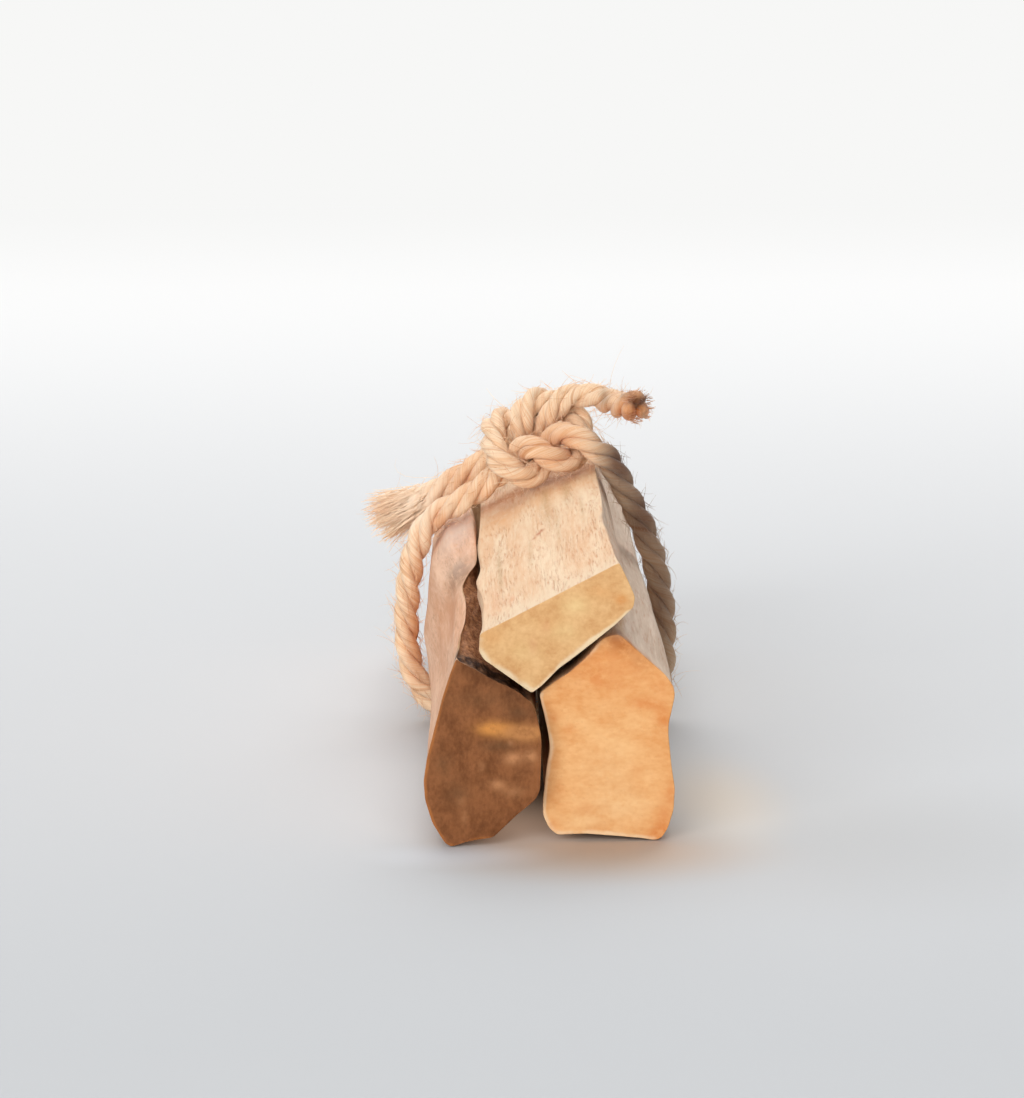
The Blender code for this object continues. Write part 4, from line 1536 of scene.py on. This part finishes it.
    def ply_radii(self, walked: Array, share: Array, flare: Array, number: int) -> Array:
        """Radius of a ply at each point of its grid.

        It is uneven along the ply, has ridges of fibre round it, and thins out towards a cut
        end, where the fibres have come loose.

        Args:
            walked: distance along the twine of each ring.
            share: how far round the ply each point lies, with the twist of the fibres.
            flare: how much the twine opens at each ring.
            number: which of the plies.

        Returns:
            The radii.
        """
        walk = walked[:, None]
        ridges = sum(
            part * lattice_noise(share, walk / length, count, self.seed + 10 * (1 + layer) + number)
            for layer, (count, length, part) in enumerate(self.ridge_layers)
        )
        thick = self.ply_radius * self.uneven(walked, self.ply_swell, 30 + number)
        left, right = self.fray_lengths
        whole = np.minimum(smooth_step(0.0, left, walked), smooth_step(0.0, right, walked[::-1]))
        fray = self.frayed + (1 - self.frayed) * whole
        opened = 1 + self.ply_opening * (flare - 1)
        least, more = self.ridge_height
        return (thick * fray * opened)[:, None] * (least + more * ridges)

    def ply(self, number: int, points: Array) -> tuple[Array, Array, Array]:
        """One ply: a ridged tube carried along a helix round the twine's line.

        The helix turns once in the lay's length. The tube's section is a circle with fibre
        ridges that run at an angle round it, and its height is pressed flat under the bundle.

        Args:
            number: which of the plies.
            points: the twine's line.

        Returns:
            Its corners, and at each of them where it lies in the ply's own twist and how deep
            it lies between the plies, which the finish darkens there as painted shade.
        """
        along, sides, ups = self.frames(points)
        walked = self.ply_step * np.arange(len(points))
        turn = 2 * pi * (walked / self.lay + number / self.plies)
        out = np.cos(turn)[:, None] * sides + np.sin(turn)[:, None] * ups
        flare = self.flare(points)
        swell = self.uneven(walked, self.offset_swell, number)
        spread = self.ply_offset * swell * flare**self.opening_power
        centre = points + out * spread[:, None]
        heading = unit(np.gradient(centre, axis=0))
        across = unit(np.cross(heading, out))
        out = np.cross(across, heading)
        angle = 2 * pi * np.arange(self.ply_columns) / self.ply_columns
        share = angle[None] / (2 * pi) + walked[:, None] / self.fibre_twist
        circle = np.cos(angle)[None, :, None] * out[:, None] + np.sin(angle)[None, :, None] * across[:, None]
        radii = self.ply_radii(walked, share, flare, number)
        from_line = centre[:, None] + radii[..., None] * circle - points[:, None]
        from_line[..., 2] *= self.flattening(points)[:, None]
        grid = points[:, None] + from_line
        poles = grid[[0, -1]].mean(axis=1) + self.end_bulge * np.stack([-along[0], along[-1]])
        corners = np.concatenate([poles[:1], grid.reshape(-1, 3), poles[1:]])
        twist = 2 * pi * share
        apart = self.plies_apart * number + walked[:, None] + 0 * share
        lay = np.stack([self.ply_radius * np.cos(twist), self.ply_radius * np.sin(twist), apart], axis=-1)
        lay = np.pad(lay.reshape(-1, 3), ((1, 1), (0, 0)))
        valley = smooth_step(*self.valley_reach, np.cos(angle))[None] + 0 * share
        return corners, lay, self.valley_share * np.pad(valley.ravel(), 1, constant_values=1)

    def surface(self, line: Array) -> Surface:
        """The plies as one mesh.

        Args:
            line: the twine's line.

        Returns:
            The surface with its values: lay, valley, the painted shade between the plies, and each stain.
        """
        plies = [self.ply(number, line) for number in range(self.plies)]
        corners, lay, valley = (np.concatenate(parts) for parts in zip(*plies))
        faces = tubes_between_poles(self.plies, len(line), self.ply_columns)
        return Surface(corners, *faces, {"lay": lay, "valley": valley, **self.stained(corners)})

    def stained(self, points: Array) -> dict[str, Array]:
        """How strong each stain is at each point."""
        return {stain.name: stain.strength(points) for stain in self.stains}

    def build(self, sticks: Sequence[Stick]) -> tuple[bpy.types.Object, Array]:
        """Makes the twine in place of its plain solid.

        Args:
            sticks: the sticks that it holds.

        Returns:
            The piece and the twine's line, for the loose fibres.
        """
        line = self.line(sticks)
        finish = self.finish.make(self.stains)
        piece = make_piece("jute_twine_plies", self.surface(line), finish, radians(60))
        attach(piece, "root")
        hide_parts(self.node)
        return piece, line


@dataclass(frozen=True)
class Brush:
    """The loose fibres of a cut end: how many, over what length, and how far they spread."""

    count: int
    length: float
    spread: float


@dataclass
class LooseFibres:
    """Fibres that stand off the twine: a short fuzz all along, brushes at the ends, a few long ones.

    The long ones start in the stray stretch, a share of the line at either end that takes in
    the tails and the knot. A pair is the least and the most of a size, and lengths of the fuzz
    are drawn round the usual one on a logarithmic scale. A root is how far from the twine's
    centre a fibre starts, as a share of its radius, and a waver is how much its direction
    strays at the start and then bends. A brush's fibre runs on past the cut end by a share of
    the brush's length. Askew is a direction that no fibre runs along.
    """

    twine: JuteTwine
    fuzz: int = 2900
    strays: int = 14
    stray_stretch: float = 0.24
    usual_length: float = 1.2
    length_spread: float = 0.5
    fuzz_lengths: Pair = (0.5, 3.2)
    stray_lengths: Pair = (4.5, 8.0)
    fuzz_lift: Pair = (0.15, 0.9)
    fuzz_thickness: Pair = (0.018, 0.034)
    fuzz_root: float = 0.93
    fuzz_waver: Pair = (0.16, 0.12)
    brush_thickness: Pair = (0.035, 0.075)
    brush_root: float = 1.08
    brush_waver: Pair = (0.07, 0.035)
    brush_back: float = 0.9
    brush_past: Pair = (0.06, 0.5)
    left_brush: Brush = Brush(620, 5.0, 0.3)
    right_brush: Brush = Brush(150, 1.7, 0.08)
    segments: int = 6
    corners: int = 3
    askew: Triple = (0.31, 0.17, 0.93)
    tip: float = 0.3
    seed: int = 5
    floor_clearance: float = 0.05

    def grown(
        self, line: Array, at: Array, way: float | Array, root: float | Array, lift: Array,
        length: Array, waver: Pair, random: np.random.Generator,
    ) -> Array:
        """Lines of fibres that start on the twine, run along it and lift off.

        A fibre bends at an even rate: its direction at each segment is the last one plus a
        constant small turn of its own.

        Args:
            line: the twine's centre line.
            at: the place on the line where each fibre starts.
            way: 1 for a fibre that runs on along the line, -1 for one that runs back.
            root: how far from the centre it starts.
            lift: how much its direction leans outwards.
            length: its length.
            waver: how much it strays and bends.
            random: the source of its random numbers.

        Returns:
            The points of each fibre.
        """
        along, sides, ups = self.twine.frames(line)
        turn = random.uniform(0, 2 * pi, len(at))
        out = np.cos(turn)[:, None] * sides[at] + np.sin(turn)[:, None] * ups[at]
        start = line[at] + out * (root * self.twine.radius * self.twine.flare(line)[at])[:, None]
        strayed = random.normal(0, 1, (len(at), 3)) * waver[0]
        heading = unit((way * along[at].T).T + lift[:, None] * out + strayed)
        turning = random.normal(0, waver[1], (len(at), 3))
        headings = unit(heading[:, None] + turning[:, None] * np.arange(self.segments)[None, :, None])
        strides = headings * (length / self.segments)[:, None, None]
        return np.concatenate([start[:, None], start[:, None] + np.cumsum(strides, axis=1)], axis=1)

    def strands(self, line: Array) -> tuple[Array, Array, Array]:
        """Lines of all the fibres: fuzz, strays and the two brushes.

        Args:
            line: the twine's centre line.

        Returns:
            Points of each fibre, its thickness, and its shade.
        """
        random = np.random.default_rng(self.seed)
        last = len(line) - 1
        loose = self.fuzz + self.strays
        place = random.integers(0, last + 1, loose)
        from_end = random.integers(0, round(self.stray_stretch * last), self.strays)
        place[self.fuzz :] = np.where(random.random(self.strays) < 0.5, from_end, last - from_end)
        way = np.where(random.random(loose) < 0.5, -1.0, 1.0)
        length = np.exp(random.normal(np.log(self.usual_length), self.length_spread, loose))
        length = np.clip(length, *self.fuzz_lengths)
        length[self.fuzz :] = random.uniform(*self.stray_lengths, self.strays)
        lift = random.uniform(*self.fuzz_lift, loose)
        points = [self.grown(line, place, way, self.fuzz_root, lift, length, self.fuzz_waver, random)]
        thick = [random.uniform(*self.fuzz_thickness, loose)]
        for brush, first, direction in ((self.left_brush, 0, -1.0), (self.right_brush, last, 1.0)):
            count = brush.count
            back = random.random(count) * brush.length
            at = np.abs(first - np.round(back / self.twine.ply_step).astype(int))
            root = np.sqrt(random.random(count)) * self.brush_root
            lift = root * random.uniform(0.0, brush.spread, count)
            length = back * self.brush_back + random.uniform(*self.brush_past, count) * brush.length
            points.append(self.grown(line, at, direction, root, lift, length, self.brush_waver, random))
            thick.append(random.uniform(*self.brush_thickness, count))
        thick = np.concatenate(thick)
        return np.concatenate(points), thick, random.random(len(thick))

    def surface(self, line: Array) -> Surface:
        """Every fibre as a three-sided tapered tube with a pole at each end, kept off the floor.

        Args:
            line: the twine's centre line.

        Returns:
            The surface with its values: shade and each stain.
        """
        points, thick, shade = self.strands(line)
        row = PLACEMENT.points(points.reshape(-1, 3))
        row[:, 2] = np.maximum(row[:, 2], (self.floor_clearance + thick.max()) * MM)
        points = PLACEMENT.own_points(row).reshape(points.shape)
        total, rows = points.shape[:2]
        along = unit(np.gradient(points, axis=1))
        side = unit(np.cross(along, np.array(self.askew)))
        up = np.cross(along, side)
        taper = np.linspace(1.0, self.tip, rows)[None, :] * thick[:, None]
        angle = 2 * pi * np.arange(self.corners)[:, None] / self.corners
        circle = np.cos(angle) * side[:, :, None] + np.sin(angle) * up[:, :, None]
        ring = (points[:, :, None] + taper[..., None, None] * circle).reshape(total, -1, 3)
        grid = np.concatenate([points[:, :1], ring, points[:, -1:]], axis=1).reshape(-1, 3)
        values = {"shade": np.repeat(shade, len(grid) // total), **self.twine.stained(grid)}
        return Surface(grid, *tubes_between_poles(total, rows, self.corners), values)

    def build(self, line: Array) -> bpy.types.Object:
        """Makes the fibres as one piece that rides with the twine.

        Args:
            line: the twine's centre line.

        Returns:
            The piece.
        """
        finish = self.twine.finish.make_loose(self.twine.stains)
        piece = make_piece("jute_loose_fibres", self.surface(line), finish, radians(80))
        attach(piece, "root")
        return piece


@dataclass(frozen=True)
class Bounce:
    """Shade, colour and light that the wood throws onto the floor beside it.

    The centre and the reach are (x, y) in metres of the row frame. The tint takes a share of
    the floor's colour there, and the glow is added to its light.
    """

    centre: Pair
    reach: Pair
    tint: str
    share: float
    glow: str = BLACK


@dataclass(frozen=True)
class Floor:
    """A matt pale board that grows lighter away from the camera, into an even glow."""

    half_width: float = 9.0
    near: str = "#c7c9cb"
    far: str = "#efefef"
    fade: Pair = (-0.11, 0.5)
    glow: str = "#f7f7f6"
    glow_fade: Pair = (0.1, 0.75)
    bounces: tuple[Bounce, ...] = (
        Bounce((0.026, -0.046), (0.036, 0.036), "#a9a6a2", 0.22),
        Bounce((0.0058, -0.0502), (0.0198, 0.0145), "#c6ad95", 0.78),
        Bounce((-0.002, -0.040), (0.008, 0.016), "#e0d2c4", 0.5, "#7d6a5b"),
        Bounce((-0.0075, -0.0515), (0.010, 0.006), "#d2d5da", 0.6, "#47484a"),
        Bounce((0.0175, -0.030), (0.009, 0.026), "#d6c8b6", 0.6, "#383634"),
    )

    def paint(self) -> bpy.types.Material:
        """Makes the board's material, from Object coordinates in metres.

        Returns:
            The material.
        """
        paint = Painter("matt_pale_board")
        place = paint.node("TexCoord", output="Object")
        y = paint.node("SeparateXYZ", (place,), "Y")
        share = paint.node("MapRange", (y, *self.fade))
        glow = paint.node("MapRange", (y, *self.glow_fade), **SMOOTH)
        colour = paint.layered(self.near, (share, self.far), (glow, BLACK))
        light = paint.layered(BLACK, (glow, self.glow))
        for bounce in self.bounces:
            (x, y), (wide, deep) = bounce.centre, bounce.reach
            scale, shift = (1 / wide, 1 / deep, 0.0), (-x / wide, -y / deep, 0.0)
            away = paint.node("VectorMath", (place, scale, shift), operation="MULTIPLY_ADD")
            away = paint.node("VectorMath", (away,), "Value", operation="LENGTH")
            near = paint.node("MapRange", (away, 0.0, 1.0, 1.0, 0.0), **SMOOTH)
            share = paint.node("Math", (near, bounce.share), operation="MULTIPLY")
            colour = paint.layered(colour, (share, bounce.tint))
            added = {0: near, 6: light, 7: bounce.glow}
            light = paint.node("Mix", added, 2, data_type="RGBA", blend_type="ADD")
        return paint.finished(
            {"Base Color": colour, "Roughness": 0.9, "Specular IOR Level": 0.0,
             "Emission Color": light, "Emission Strength": 1.0}
        )

    def build(self) -> bpy.types.Object:
        """Makes the floor, with its upper face at zero.

        Returns:
            The object.
        """
        w = self.half_width
        mesh = bpy.data.meshes.new("floor")
        mesh.from_pydata([(-w, -w, 0), (w, -w, 0), (w, w, 0), (-w, w, 0)], [], [(0, 1, 2, 3)])
        mesh.materials.append(self.paint())
        made = placed("floor", mesh)
        return made


@dataclass(frozen=True)
class SoftBox:
    """A square of soft white light, turned to the bundle, that the camera doesn't see."""

    name: str
    place: Triple
    size: float
    watts: float

    def build(self) -> bpy.types.Object:
        """Makes the light.

        Returns:
            The object.
        """
        light = bpy.data.lights.new(self.name, "AREA")
        light.shape = "SQUARE"
        light.size = self.size
        light.energy = self.watts
        made = placed(self.name, light)
        made.location = self.place
        made.rotation_euler = (-Vector(self.place)).to_track_quat("-Z", "Y").to_euler()
        made.visible_camera = False
        return made


LIGHTS = (
    SoftBox("window", (-1.1, 0.55, 1.15), 1.3, 2.0),
    SoftBox("ceiling", (0.0, 0.5, 1.7), 1.6, 19.5),
    SoftBox("far_wall", (0.2, 1.4, 0.9), 1.4, 14.0),
    SoftBox("near_left", (-0.75, -1.35, 0.5), 1.0, 17.0),
    SoftBox("near_wall", (0.1, -1.5, 0.9), 1.2, 7.5),
)


@dataclass(frozen=True)
class Viewpoint:
    """The camera, given in the bundle's own frame in millimetres."""

    place: Triple = (-6.665, -327.354, 83.673)
    down: float = radians(12.0)
    to_right: float = radians(0.70)
    focal_pixels: float = 3740.0
    picture: tuple[int, int] = (1024, 1098)
    sensor: float = 36.0
    clip: Pair = (0.01, 50.0)

    def build(self) -> bpy.types.Object:
        """Makes the camera and hands it to the scene.

        Returns:
            The object.
        """
        data = bpy.data.cameras.new("camera")
        data.sensor_width = self.sensor
        data.lens = self.focal_pixels / max(self.picture) * self.sensor
        data.clip_start, data.clip_end = self.clip
        level = cos(self.down)
        forward = Vector((sin(self.to_right) * level, cos(self.to_right) * level, -sin(self.down)))
        right = Vector((cos(self.to_right), -sin(self.to_right), 0.0))
        turn = PLACEMENT.turn()
        forward, right = turn @ forward, turn @ right
        axes = Matrix((right, right.cross(forward), -forward)).transposed().to_4x4()
        made = placed("camera", data)
        made.matrix_world = Matrix.Translation(PLACEMENT.points(np.array(self.place))) @ axes
        bpy.context.scene.camera = made
        return made


def light_room(colour: str, brightness: float) -> None:
    """Fills the room with even light.

    Args:
        colour: the light's colour in hex.
        brightness: its strength.
    """
    world = bpy.data.worlds.new("room")
    world.use_nodes = True
    background = world.node_tree.nodes["Background"]
    background.inputs["Color"].default_value = linear(colour)
    background.inputs["Strength"].default_value = brightness
    bpy.context.scene.world = world


def main() -> None:
    """Builds the bundle, the floor, the light and the camera, and reports each piece."""
    logging.basicConfig(level=logging.INFO, format="%(message)s")
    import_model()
    sticks = (TOP, LEFT, RIGHT)
    pieces = [stick.build() for stick in sticks]
    twine = JuteTwine()
    plies, line = twine.build(sticks)
    pieces += [plies, LooseFibres(twine).build(line)]
    for piece in pieces:
        triangles = sum(len(face.vertices) - 2 for face in piece.data.polygons)
        log.info("%s: %d triangles", piece.name, triangles)
    Floor().build()
    for light in LIGHTS:
        light.build()
    light_room("#fbfcff", 0.12)
    Viewpoint().build()
    bpy.context.scene.view_settings.view_transform = "Standard"


if __name__ == "__main__":
    main()
